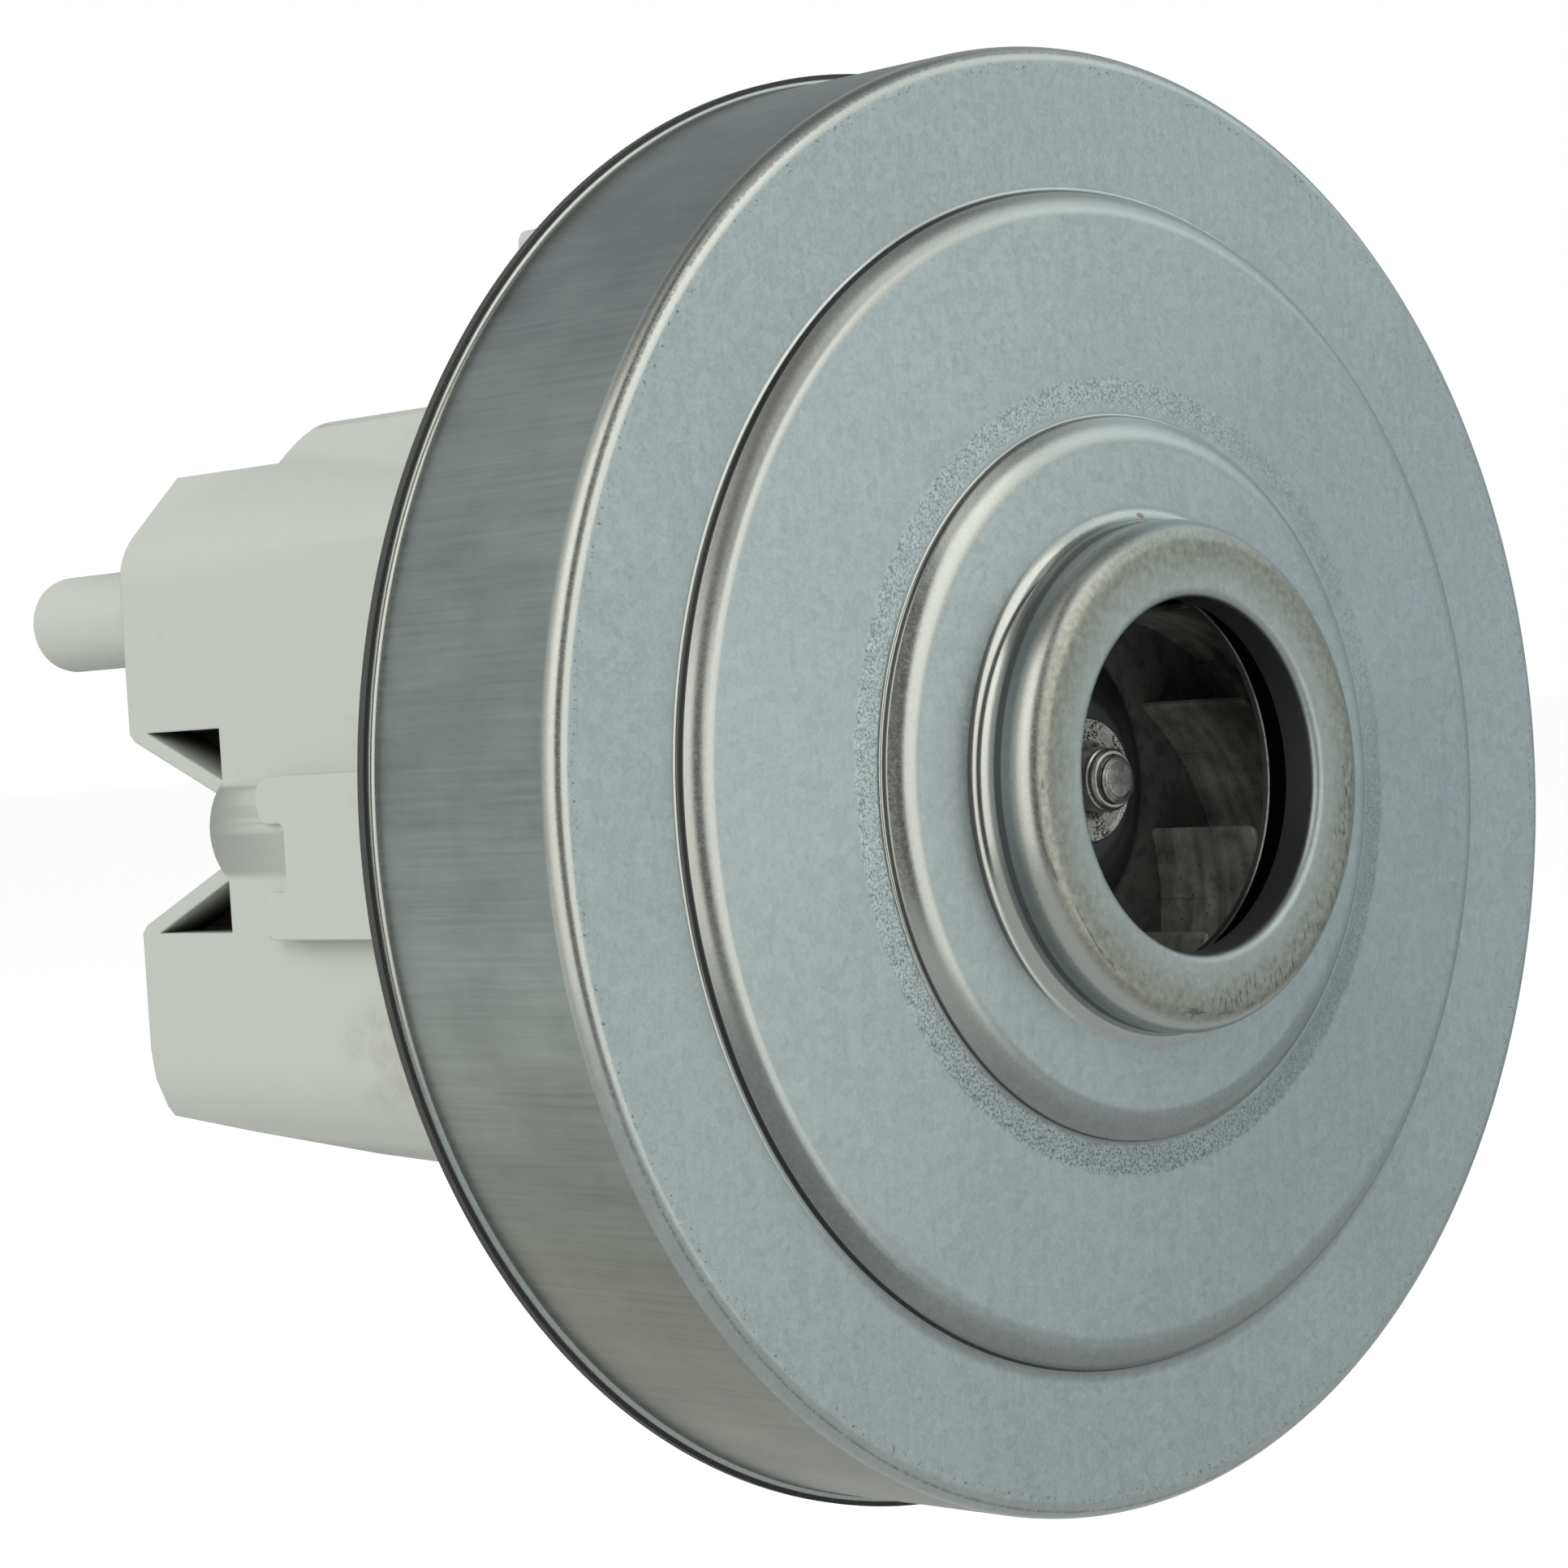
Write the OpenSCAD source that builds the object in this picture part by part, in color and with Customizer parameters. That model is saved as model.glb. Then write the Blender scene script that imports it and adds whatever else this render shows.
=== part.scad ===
// Vacuum motor unit: a through-flow fan under a pressed steel cover, driven by a two pole
// commutator motor in a moulded housing. The shaft lies along Y, the inlet faces -Y and +Z is up.
// The origin is the centre of the straight wall of the inlet bore.

/* [Fan cover] */
// Outside radius of the cover's skirt
skirt_r = 67; // [65:0.5:69]
// Length of the skirt from the front sheet to the rear flange's back
skirt_len = 24.1; // [23.1:0.2:25.1]
// Thickness of the cover's sheet
cover_sheet = 0.8; // [0.6:0.1:1.0]
// Radius at the edge between front sheet and skirt
front_corner_r = 2; // [1.5:0.1:2.4]
// How far the rear flange stands out of the skirt
rear_flange_w = 0.95; // [0.8:0.05:1.4]
// Radius at the foot of the outer step
outer_step_r = 53.9; // [52:0.1:55]
// Height of the outer step
outer_step_h = 1.95; // [1.5:0.05:2.2]
// Radius of the inner step
inner_step_r = 32.7; // [31.5:0.1:34]
// Height of the inner step's foot above the front sheet
inner_foot_h = 3; // [2.7:0.1:3.2]
// Height of the inner step's top above the front sheet
inner_top_h = 5; // [4.8:0.1:5.4]
// Radius of the inlet neck
neck_r = 23.2; // [22.6:0.1:23.8]
// Height of the inlet neck above the front sheet
neck_h = 11.4; // [10.8:0.1:12]
// Radius of the inlet bore
bore_r = 16; // [15.6:0.1:16.4]
// Depth of the inlet lip behind the neck's face
lip_len = 3.75; // [3.4:0.05:4.2]

/* [Impeller] */
// Outside radius of the impeller
impeller_r = 58; // [56:0.5:59]
// Sheet thickness of back plate
plate_sheet = 1; // [0.8:0.1:1.1]
// Sheet thickness of the vanes
vane_sheet = 0.8; // [0.6:0.1:1]
// Sheet thickness of the shroud
shroud_sheet = 0.6; // [0.5:0.1:0.8]
// Number of vanes
vane_count = 9; // [7:1:11]
// Angle of the first vane's leading edge
vane_start = 22; // [0:1:39]
// Angle a vane sweeps from eye to rim
vane_sweep = 105; // [90:1:112]
// Radius of the shroud's eye
eye_r = 17.6; // [17.2:0.1:17.8]
// Width of the channel at the impeller's rim
rim_gap = 5.3; // [4.9:0.1:5.8]

/* [Diffuser] */
// Gap between the diffuser's disc and the cover's skirt
diffuser_gap = 5.7; // [5:0.1:8]
// Number of return vanes
return_count = 15; // [11:1:17]
// Thickness of the diffuser's walls
diffuser_wall = 1.5; // [1.2:0.1:1.8]

/* [Housing] */
// Half width of the housing
half_w = 43; // [42.6:0.1:44]
// Height of the top over the shaft
top_h = 39.5; // [39.3:0.1:41]
// Height of the rear part's top over the shaft
rear_top_h = 35.7; // [35.4:0.1:35.9]
// Depth of the bottom under the shaft
bottom_h = 33.6; // [33.4:0.1:34.5]
// Depth of the rear edge of the bottom under the shaft
rear_bottom_h = 28.5; // [28.4:0.1:29.8]
// Distance from the front sheet to the housing's rear face
housing_end = 92; // [91.8:0.1:94]
// Wall thickness of the housing
wall = 2.2; // [1.9:0.1:2.3]
// Radius of the lower corners
lower_corner_r = 12; // [11:0.5:12.5]
// Half height of the air channel at the rear
channel_h = 10; // [9.5:0.1:10.4]
// Distance from the front sheet to the channel's bottom
channel_start = 77; // [76:0.5:78]
// Radius of the locating peg
peg_r = 4.9; // [4.6:0.1:5.2]
// Length of the locating peg
peg_len = 18; // [14:0.5:19]

/* [Motor] */
// Distance from the front sheet to the core's front face
core_start = 38; // [37.8:0.1:38.4]
// Length of the laminated cores
core_len = 26; // [25.8:0.1:26]
// Half width of the stator core
core_w = 40; // [39.6:0.1:40.3]
// Half height of the stator core
core_h = 29.4; // [29:0.1:29.6]
// Radius of the armature
armature_r = 17.5; // [17.2:0.1:17.7]
// Air gap between armature and poles
air_gap = 0.5; // [0.3:0.05:0.6]
// Number of armature slots
slot_count = 12; // [10:1:14]
// Radius of the commutator
commutator_r = 11; // [10.6:0.1:11.2]
// Number of commutator bars
bar_count = 24; // [20:1:28]
// Width of a carbon brush round the commutator
brush_w = 6.3; // [5.8:0.1:6.6]
// Width of a carbon brush along the shaft
brush_t = 8; // [7.4:0.1:8.4]
// Length of a carbon brush
brush_len = 9; // [8:0.1:9.6]

/* [Shaft and bearings] */
// Radius of the shaft in the front bearing
shaft_r = 4; // [3.9:0.05:4.1]
// Radius of the shaft's rear journal
rear_journal_r = 3; // [2.9:0.05:3.1]
// Radius of the shaft's threaded nose
nose_r = 2.5; // [2.4:0.05:2.6]
// Outside radius of the front bearing
front_bearing_r = 11; // [10.9:0.05:11.1]
// Width of the front bearing
front_bearing_w = 7; // [6.9:0.05:7.1]
// Outside radius of the rear bearing
rear_bearing_r = 9.5; // [9.4:0.05:9.6]
// Width of the rear bearing
rear_bearing_w = 6; // [5.9:0.05:6.1]
// Number of balls in a bearing
ball_count = 7; // [6:1:7]

/* [Fixings] */
// Radius of the long motor screws
screw_r = 2; // [1.8:0.1:2.2]
// Radius of the bracket's screws
bracket_screw_r = 1.9; // [1.7:0.1:2]
// Width of a terminal tab
tab_w = 6.3; // [6:0.1:6.5]
// Thickness of a terminal tab
tab_t = 0.8; // [0.7:0.1:0.9]

/* [Hidden] */
$fn = 96;
// Cut that passes right through a wall
through = 1;
// Clearance of a running fit and of a seat
run_fit = 0.05;
// Clearance of a loose inner part
loose_fit = 0.25;

// Distance from the front sheet forward to the middle of the straight bore wall
bore_corner_r = 0.9;
bore_wall_len = lip_len - bore_corner_r;
bore_mid = neck_h - lip_len + bore_wall_len / 2;

// Cover
skirt_in_r = skirt_r - cover_sheet;
step_slope = 60;
step_convex_r = 1.45 * outer_step_h;
step_foot_r = 0.8;
inner_step_corner_r = 1.7;
inner_step_foot_r = 0.5;
rear_bend_r = 0.5;
neck_corner_r = 2.6;
neck_foot_r = 1.5;
neck_foot_h = 5.55;
outer_shelf_r = outer_step_r - outer_step_h / tan(step_slope);

// Flange of the housing inside the skirt
flange_t = 2.6;
flange_front = skirt_len - flange_t;

// Impeller
plate_flat = 9.4;
plate_hub = 4.5;
hub_flat_r = 8.5;
hub_foot_r = 15;
vane_eye_r = eye_r - 0.1;
vane_nose = 1.2;
shroud_path = [
    [eye_r, -4.4],
    [20, -3],
    [inner_step_r, 0],
    [impeller_r, plate_flat - rim_gap - shroud_sheet]
];

// Shaft stack, all as distances from the front sheet
nose_end = -1.35;
nut_front = -0.6;
nut_back = 2.9;
nut_r = 3.3;
nut_neck_r = 2.9;
nut_rim_start = 0.3;
washer_r = 5.8;
seat_r = 3;
front_bearing_start = 24;
front_bearing_end = front_bearing_start + front_bearing_w;
rear_bearing_start = 84;
rear_bearing_end = rear_bearing_start + rear_bearing_w;
shaft_end = rear_bearing_end + 1;
shoulder = 10.6;
spacer_r = 6;
spacer_flange_r = 7.6;
spacer_flange_t = 1.8;

// Diffuser
diffuser_front = 12;
diffuser_disc_t = 1.5;
diffuser_bore_r = 7.5;
return_inner_r = 26;
return_sweep = 62;
diffuser_r = skirt_in_r - diffuser_gap;

// Housing details
chamfer_low = 27.8;
flat_low = 20.5;
ramp_end = 75;
ramp_start = 74.5;
ramp_r = 3.4;
bottom_bend = 50;
edge_r = 2;
shoulder_r = 7;
pad_t = 2.5;
pad_top = 5.1;
pad_bottom = 10.6;
pad_end = 64.4;
pad_tab_end = 68.4;
pad_tab_w = 4.6;
pillar_r = 7;
pillar_out = 1.9;
arm_foot_w = 1.6;
arm_depth = 5.4;
arm_tip_low = 2.8;
arm_tip_high = 4.5;
peg_x = -37.5;
peg_z = 21.8;
peg_corner_r = 1.8;
lug_x = -40.1;
lug_w = 10;
lug_foot = 42;
lug_top = 52.8;
lug_end = 31;
lug_corner_r = 1.2;
bearing_window_r = 13;
floor_start = 70.5;
floor_gap = 13;

// Stator
core_end = core_start + core_len;
core_corner_r = 10;
pole_bore_r = armature_r + air_gap;
shoe_r = pole_bore_r + 2.8;
window_x = 31;
window_top = 21.8;
pole_h = 11.5;
interpole_w = 8;
post_x = 34.5;
post_z = 24;
post_r = 4;
post_front = 25.4;
post_block_x = 31;
post_block_z = 20.2;
post_block_len = 12;
rib_x = 20;
rib_t = 2;
rib_front = 26;

// Field coils
coil_in_x = 21.5;
coil_out_h = 21;
coil_head = 5;
coil_corner_r = 5;

// Armature and commutator
slot_w = 4.4;
slot_neck_w = 1.8;
slot_in_r = 9.5;
slot_out_r = armature_r - 1.6;
winding_r = 15.4;
winding_in_r = 6.5;
winding_head = 4.6;
winding_corner_r = 2;
liner = 0.2;
commutator_start = 69.5;
commutator_end = 81.5;
riser_end = 71.3;
riser_r = commutator_r + 1;
bar_in_r = 8;
bar_slit = 0.5;
hub_core_r = 8;

// Brushes, all as heights over the shaft's axis
brush_mid = 76.5;
brush_gap = 0.1;
brush_foot = commutator_r + brush_gap;
brush_top = brush_foot + brush_len;
holder_wall = 0.8;
holder_foot = 12.6;
holder_top = 27.8;
cap_t = 0.8;
brush_fit = 0.08;
sleeve_wall = 2;
sleeve_foot = 14;
spring_r = 2.7;
spring_bore_r = 2;

// Front shield
shield_front = 23;
shield_cup_r = 13.5;
shield_lip_r = 9.5;
arm_w = 7;
shield_arm_t = 3;
head_r = 3.6;
head_t = 2.4;
screw_end = core_end + 10;

// Rear bracket
strip_t = 1.2;
strip_w = 20;
strip_h = 27;
bracket_cup_r = 12.2;
bush_r = 11;
cup_floor = 82.4;
cup_hole_r = 6;
bracket_screw_z = 21;
bracket_head_r = 3.8;
bracket_head_t = 2.3;
bracket_boss_r = 4.4;
bracket_boss_len = 8;
bracket_screw_len = 9;

// Terminals
tab_x = 24;
tab_z = -20;
tab_out = 8;
tab_in = 5;
tab_hole_r = 0.9;

// Bearings: ball radius, pitch radius, ring shoulders
front_pitch_r = (front_bearing_r + shaft_r) / 2;
front_ball_r = 1.98;
rear_pitch_r = (rear_bearing_r + rear_journal_r) / 2;
rear_ball_r = 1.75;
shield_sheet = 0.3;
shield_inset = 0.2;

// Puts a piece drawn as (x, up, distance behind the front sheet) into the row's frame
module axial() {
    translate([0, bore_mid, 0]) rotate([90, 0, 0]) mirror([0, 0, 1]) children();
}

// Turns a profile drawn as (radius, distance behind the front sheet) about the shaft
module turned() {
    axial() rotate_extrude() children();
}

// A plain ring between two distances
module ring(inner, outer, from, to) {
    turned() translate([inner, from]) square([outer - inner, to - from]);
}

// Unit vector from one point to another
function toward(a, b) = (b - a) / norm(b - a);

// Left-hand normal of the way from one point to another
function side(a, b) = let (u = toward(a, b)) [-u[1], u[0]];

// How far a path turns at a point, positive to the left
function turn(a, b, c) = let (u = toward(a, b), v = toward(b, c)) u[0] * v[1] - u[1] * v[0];

// Points of the rounded corner at b, with radius r and n steps
function corner(a, b, c, r, n) =
    let (
        u = toward(b, a),
        v = toward(b, c),
        half = acos(min(1, max(-1, u * v))) / 2,
        reach = r / tan(half),
        middle = b + toward([0, 0], u + v) * r / sin(half),
        p = b + u * reach - middle,
        span = (180 - 2 * half) * sign(turn(a, b, c))
    )
    [for (i = [0:n]) middle + [
        p[0] * cos(span * i / n) - p[1] * sin(span * i / n),
        p[0] * sin(span * i / n) + p[1] * cos(span * i / n)
    ]];

// A path with its inner corners rounded
function rounded(path, radii, n) =
    let (last = len(path) - 1)
    [for (i = [0:last]) each (i == 0 || i == last || radii[i] <= 0)
        ? [path[i]]
        : corner(path[i - 1], path[i], path[i + 1], radii[i], n)];

// A closed outline with all its corners rounded
function rounded_loop(path, radii, n) =
    let (m = len(path))
    [for (i = [0:m - 1]) each radii[i] <= 0
        ? [path[i]]
        : corner(path[(i + m - 1) % m], path[i], path[(i + 1) % m], radii[i], n)];

// The same path moved to its left by t, mitred
function moved(path, t) =
    let (last = len(path) - 1)
    [for (i = [0:last])
        i == 0 ? path[0] + t * side(path[0], path[1]) :
        i == last ? path[last] + t * side(path[last - 1], path[last]) :
        let (
            m = side(path[i - 1], path[i]),
            n = side(path[i], path[i + 1])
        ) path[i] + t * (m + n) / (1 + m * n)];

// Radii of the moved path: a left turn gets tighter, a right turn wider
function moved_radii(path, radii, t) =
    let (last = len(path) - 1)
    [for (i = [0:last]) i == 0 || i == last ? 0 :
        max(0.05, radii[i] - t * sign(turn(path[i - 1], path[i], path[i + 1])))];

function reversed(list) = [for (i = [len(list) - 1:-1:0]) list[i]];

// A bent sheet's section: the path and the same path moved by the sheet's thickness
module sheet(path, radii, t, n) {
    polygon(concat(
        rounded(path, radii, n),
        reversed(rounded(moved(path, t), moved_radii(path, radii, t), n))
    ));
}

cover_path = [
    [bore_r, -(neck_h - lip_len)],
    [bore_r, -neck_h],
    [neck_r, -neck_h],
    [neck_r, -neck_foot_h],
    [inner_step_r, -inner_top_h],
    [inner_step_r, -inner_foot_h],
    [outer_shelf_r, -outer_step_h],
    [outer_step_r, 0],
    [skirt_r, 0],
    [skirt_r, skirt_len - cover_sheet],
    [skirt_r + rear_flange_w, skirt_len - cover_sheet]
];
cover_radii = [
    0, bore_corner_r, neck_corner_r, neck_foot_r, inner_step_corner_r, inner_step_foot_r,
    step_convex_r, step_foot_r, front_corner_r, rear_bend_r, 0
];

module fan_cover() color([0.62, 0.66, 0.67]) {
    turned() sheet(cover_path, cover_radii, cover_sheet, 5);
}

// A curved vane's strip between two radii
function vane_angle(r, inner, outer, start, sweep) = start - sweep * ln(r / inner) / ln(outer / inner);

module vane_strip(inner, outer, start, sweep, t, n) {
    line = [for (i = [0:n])
        let (
            r = inner + (outer - inner) * i / n,
            a = vane_angle(r, inner, outer, start, sweep)
        ) r * [cos(a), sin(a)]];
    polygon(concat(moved(line, t / 2), reversed(moved(line, -t / 2))));
}

module impeller_shroud() color([0.55, 0.56, 0.57]) {
    turned() sheet(shroud_path, [0, 0.6, 4, 0], shroud_sheet, 2);
}

plate_path = [
    [seat_r + run_fit, plate_hub],
    [hub_flat_r, plate_hub],
    [hub_foot_r, plate_flat],
    [impeller_r, plate_flat]
];

module impeller_back_plate() color([0.5, 0.5, 0.5]) {
    turned() sheet(plate_path, [0, 2, 3, 0], plate_sheet, 3);
}

// Space between plate and shroud, drawn as (radius, distance)
module channel_section() {
    under = moved(shroud_path, shroud_sheet);
    polygon(concat(
        [[vane_eye_r, plate_flat], [vane_eye_r, under[0][1] + vane_nose]],
        [[vane_eye_r + vane_nose, under[0][1] + 0.75 * vane_nose]],
        [under[1], under[2], under[3]],
        [[impeller_r, plate_flat]]
    ));
}

module impeller_vanes() color([0.6, 0.61, 0.62]) {
    axial() intersection() {
        translate([0, 0, -through - neck_h])
            linear_extrude(height = neck_h + plate_flat + 2 * through)
                for (i = [0:vane_count - 1])
                    vane_strip(vane_eye_r - through, impeller_r + through,
                        vane_start + i * 360 / vane_count, vane_sweep, vane_sheet, 10);
        rotate_extrude() channel_section();
    }
}

module impeller_nut() color([0.75, 0.76, 0.78]) {
    bevel = 0.3;
    turned() polygon([
        [nose_r + run_fit, nut_front],
        [nut_neck_r, nut_front],
        [nut_neck_r + bevel, nut_front + bevel],
        [nut_neck_r + bevel / 2, nut_rim_start],
        [nut_r, nut_rim_start + bevel],
        [nut_r, nut_back],
        [nose_r + run_fit, nut_back]
    ]);
}

module clamp_washer() color([0.5, 0.5, 0.52]) {
    ring(nose_r + run_fit, washer_r, nut_back, plate_hub);
}

module impeller_spacer() color([0.6, 0.61, 0.62]) {
    flange_start = plate_hub + plate_sheet;
    turned() polygon([
        [seat_r + run_fit, flange_start],
        [spacer_flange_r, flange_start],
        [spacer_flange_r, flange_start + spacer_flange_t],
        [spacer_r, flange_start + spacer_flange_t],
        [spacer_r, front_bearing_start],
        [shaft_r + run_fit, front_bearing_start],
        [shaft_r + run_fit, shoulder],
        [seat_r + run_fit, shoulder]
    ]);
}

module shaft() color([0.78, 0.79, 0.8]) {
    bevel = 0.5;
    turned() polygon([
        [0, nose_end],
        [nose_r - 1.6 * bevel, nose_end],
        [nose_r, nose_end + 0.8 * bevel],
        [nose_r, plate_hub],
        [seat_r, plate_hub],
        [seat_r, shoulder],
        [shaft_r, shoulder],
        [shaft_r, rear_bearing_start],
        [rear_journal_r, rear_bearing_start],
        [rear_journal_r, shaft_end - bevel],
        [rear_journal_r - bevel, shaft_end],
        [0, shaft_end]
    ]);
}

module diffuser() color([0.16, 0.16, 0.17]) {
    ring(diffuser_bore_r, diffuser_r, diffuser_front, diffuser_front + diffuser_disc_t);
    axial() translate([0, 0, diffuser_front + diffuser_disc_t])
        linear_extrude(height = flange_front - diffuser_front - diffuser_disc_t)
            intersection() {
                circle(r = skirt_in_r);
                for (i = [0:return_count - 1])
                    vane_strip(return_inner_r, skirt_in_r + through,
                        i * 360 / return_count, -return_sweep, diffuser_wall, 8);
            }
}

// Outline of the housing across the shaft, drawn in by a distance
module housing_outline(inset) {
    w = half_w - inset;
    t = top_h - inset;
    b = -(bottom_h - inset);
    slant = chamfer_low - inset * tan(22.5);
    cut = t - slant;
    r = lower_corner_r - inset;
    s = shoulder_r - inset;
    e = max(edge_r - inset, 0.2);
    polygon(rounded_loop(
        [[w, b], [w, slant], [w - cut, t], [cut - w, t], [-w, slant], [-w, b]],
        [r, s, e, e, s, r], 6
    ));
}

// Outline of the housing seen from the side, drawn as (distance, up)
module side_outline(inset, from, to) {
    polygon(concat(
        [[from, -(bottom_h - inset)], [bottom_bend, -(bottom_h - inset)], [to, -(rear_bottom_h - inset)]],
        [[to, rear_top_h - inset], [ramp_end - inset, rear_top_h - inset]],
        corner([ramp_end - inset, rear_top_h - inset], [ramp_start - inset, top_h - inset],
            [from, top_h - inset], ramp_r, 5),
        [[from, top_h - inset]]
    ));
}

// The housing's envelope, drawn in by a distance
module envelope(inset, from, to) {
    intersection() {
        translate([0, 0, from]) linear_extrude(height = to - from) housing_outline(inset);
        translate([half_w, 0, 0]) rotate([0, -90, 0]) linear_extrude(height = 2 * half_w)
            side_outline(inset, from - through, to + through);
    }
}

// A box from low corner to high corner
module block(low, high) {
    translate(low) cube(high - low);
}

// Draws its children on both sides of the shaft, left and right
module both_sides() {
    children();
    mirror([1, 0, 0]) children();
}

// Draws its children over and under the shaft
module over_and_under() {
    children();
    mirror([0, 1, 0]) children();
}

module brush_sleeve() {
    x = brush_w / 2 + brush_fit + holder_wall + sleeve_wall;
    y = brush_t / 2 + brush_fit + holder_wall + sleeve_wall;
    block([-x, sleeve_foot, brush_mid - y], [x, top_h, brush_mid + y]);
}

module brush_pocket() {
    x = brush_w / 2 + brush_fit + holder_wall;
    y = brush_t / 2 + brush_fit + holder_wall;
    block([-x, sleeve_foot - through, brush_mid - y], [x, holder_top + cap_t, brush_mid + y]);
}

module channel_arm() {
    root = channel_h + wall / 4;
    translate([half_w, 0, 0]) rotate([0, -90, 0]) linear_extrude(height = arm_depth)
        polygon([
            [housing_end, root],
            [housing_end, channel_h],
            [housing_end - arm_foot_w / 2, channel_h - arm_foot_w / 2],
            [channel_start - through, arm_tip_low],
            [channel_start - through, arm_tip_high],
            [housing_end - arm_foot_w, root]
        ]);
}

module side_pad() {
    outline = rounded_loop(
        [
            [flange_front + flange_t, -pad_bottom],
            [pad_tab_end, -pad_bottom],
            [pad_tab_end, pad_tab_w - pad_bottom],
            [pad_end, pad_tab_w - pad_bottom],
            [pad_end, pad_top - pad_tab_w],
            [pad_tab_end, pad_top - pad_tab_w],
            [pad_tab_end, pad_top],
            [flange_front + flange_t, pad_top]
        ],
        [0, 1.6, 1.6, 0.8, 0.8, 1.6, 1.6, 0], 3
    );
    translate([half_w + pad_t, 0, 0]) rotate([0, -90, 0])
        linear_extrude(height = pad_t + wall / 2) polygon(outline);
}

module side_pillar() {
    intersection() {
        translate([half_w + pillar_out - pillar_r, 0, pad_end - 0.6])
            cylinder(r = pillar_r, h = channel_start - pad_end + 0.6);
        block([half_w - wall / 2, -pillar_r, pad_end - through], [half_w + pillar_out, pillar_r, housing_end]);
    }
}

module lug() {
    r = lug_corner_r;
    translate([lug_x, lug_foot, flange_front]) linear_extrude(height = lug_end - flange_front)
        polygon(rounded_loop(
            [[0, 0], [lug_w, 0], [lug_w, lug_top - lug_foot], [0, lug_top - lug_foot]],
            [r, r, r, r], 4
        ));
}

module peg() {
    translate([peg_x, peg_z, 0]) rotate_extrude() polygon(concat(
        [[0, housing_end - wall], [peg_r, housing_end - wall]],
        corner([peg_r, housing_end], [peg_r, housing_end + peg_len], [0, housing_end + peg_len], peg_corner_r, 4),
        [[0, housing_end + peg_len]]
    ));
}

module housing_inside() {
    both_sides() over_and_under()
        block([post_block_x, post_block_z, core_end], [half_w, bottom_h, core_end + post_block_len]);
    both_sides() {
        block([rib_x - rib_t / 2, core_h, rib_front], [rib_x + rib_t / 2, top_h, core_end]);
        block([rib_x - rib_t / 2, -bottom_h, rib_front], [rib_x + rib_t / 2, -core_h, core_end]);
    }
    over_and_under() {
        brush_sleeve();
        both_sides() block([floor_gap, channel_h, floor_start], [half_w, channel_h + wall, housing_end]);
        block([-half_w, channel_h, housing_end - wall], [half_w, top_h, housing_end]);
        translate([0, bracket_screw_z, housing_end - bracket_boss_len])
            cylinder(r = bracket_boss_r, h = bracket_boss_len);
    }
}

module motor_housing() color([0.78, 0.79, 0.75]) {
    axial() difference() {
        union() {
            intersection() {
                envelope(0, flange_front, housing_end);
                union() {
                    difference() {
                        envelope(0, flange_front, housing_end);
                        envelope(wall, flange_front - through, housing_end + through);
                    }
                    housing_inside();
                }
            }
            difference() {
                union() {
                    translate([0, 0, flange_front]) cylinder(r = skirt_in_r, h = flange_t);
                    lug();
                    rotate([0, 0, 180]) lug();
                }
                translate([0, 0, flange_front - through])
                    linear_extrude(height = lug_end) housing_outline(wall / 2);
            }
            both_sides() side_pad();
            both_sides() side_pillar();
            peg();
        }
        both_sides() block([half_w - 2 * wall, -channel_h, channel_start],
            [half_w + pad_t + through, channel_h, housing_end + through]);
        over_and_under() brush_pocket();
        both_sides() over_and_under() translate([post_x, post_z, core_end - through])
            cylinder(r = screw_r + run_fit, h = post_block_len + 2 * through);
        translate([0, 0, housing_end - wall - through])
            cylinder(r = bearing_window_r, h = wall + 2 * through);
        over_and_under() translate([0, bracket_screw_z, housing_end - bracket_screw_len])
            cylinder(r = bracket_screw_r + run_fit, h = bracket_screw_len + through);
        both_sides() block([tab_x - tab_w / 2, tab_z - tab_t / 2, housing_end - wall - through],
            [tab_x + tab_w / 2, tab_z + tab_t / 2, housing_end + through]);
    }
    axial() both_sides() over_and_under() channel_arm();
}

module front_end_shield() color([0.72, 0.73, 0.74]) {
    axial() difference() {
        union() {
            translate([0, 0, shield_front]) cylinder(r = shield_cup_r, h = front_bearing_end - shield_front);
            both_sides() over_and_under() {
                translate([post_x, post_z, post_front]) cylinder(r = post_r, h = core_start - post_front);
                rotate([0, 0, atan2(post_z, post_x)])
                    block([shield_cup_r - 1, -arm_w / 2, post_front],
                        [norm([post_x, post_z]) - screw_r - 0.5, arm_w / 2, post_front + shield_arm_t]);
            }
        }
        translate([0, 0, front_bearing_start]) cylinder(r = front_bearing_r, h = front_bearing_w + through);
        translate([0, 0, shield_front - through]) cylinder(r = shield_lip_r, h = front_bearing_w);
        both_sides() over_and_under() translate([post_x, post_z, post_front - through])
            cylinder(r = screw_r + run_fit, h = core_start - post_front + 2 * through);
    }
}

module motor_screws() color([0.7, 0.71, 0.72]) {
    axial() both_sides() over_and_under() translate([post_x, post_z, 0]) rotate_extrude() polygon([
        [0, post_front - head_t],
        [head_r - 0.6, post_front - head_t],
        [head_r, post_front - head_t + 0.6],
        [head_r, post_front],
        [screw_r, post_front],
        [screw_r, screw_end - 1],
        [0, screw_end]
    ]);
}

// One quarter of the winding space, with the gap between the pole shoes
module winding_window() {
    difference() {
        translate([interpole_w - through, pole_h]) square([window_x - interpole_w + through, window_top - pole_h]);
        circle(r = shoe_r);
    }
    translate([-through, 0]) square([interpole_w + through, window_top]);
}

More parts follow.
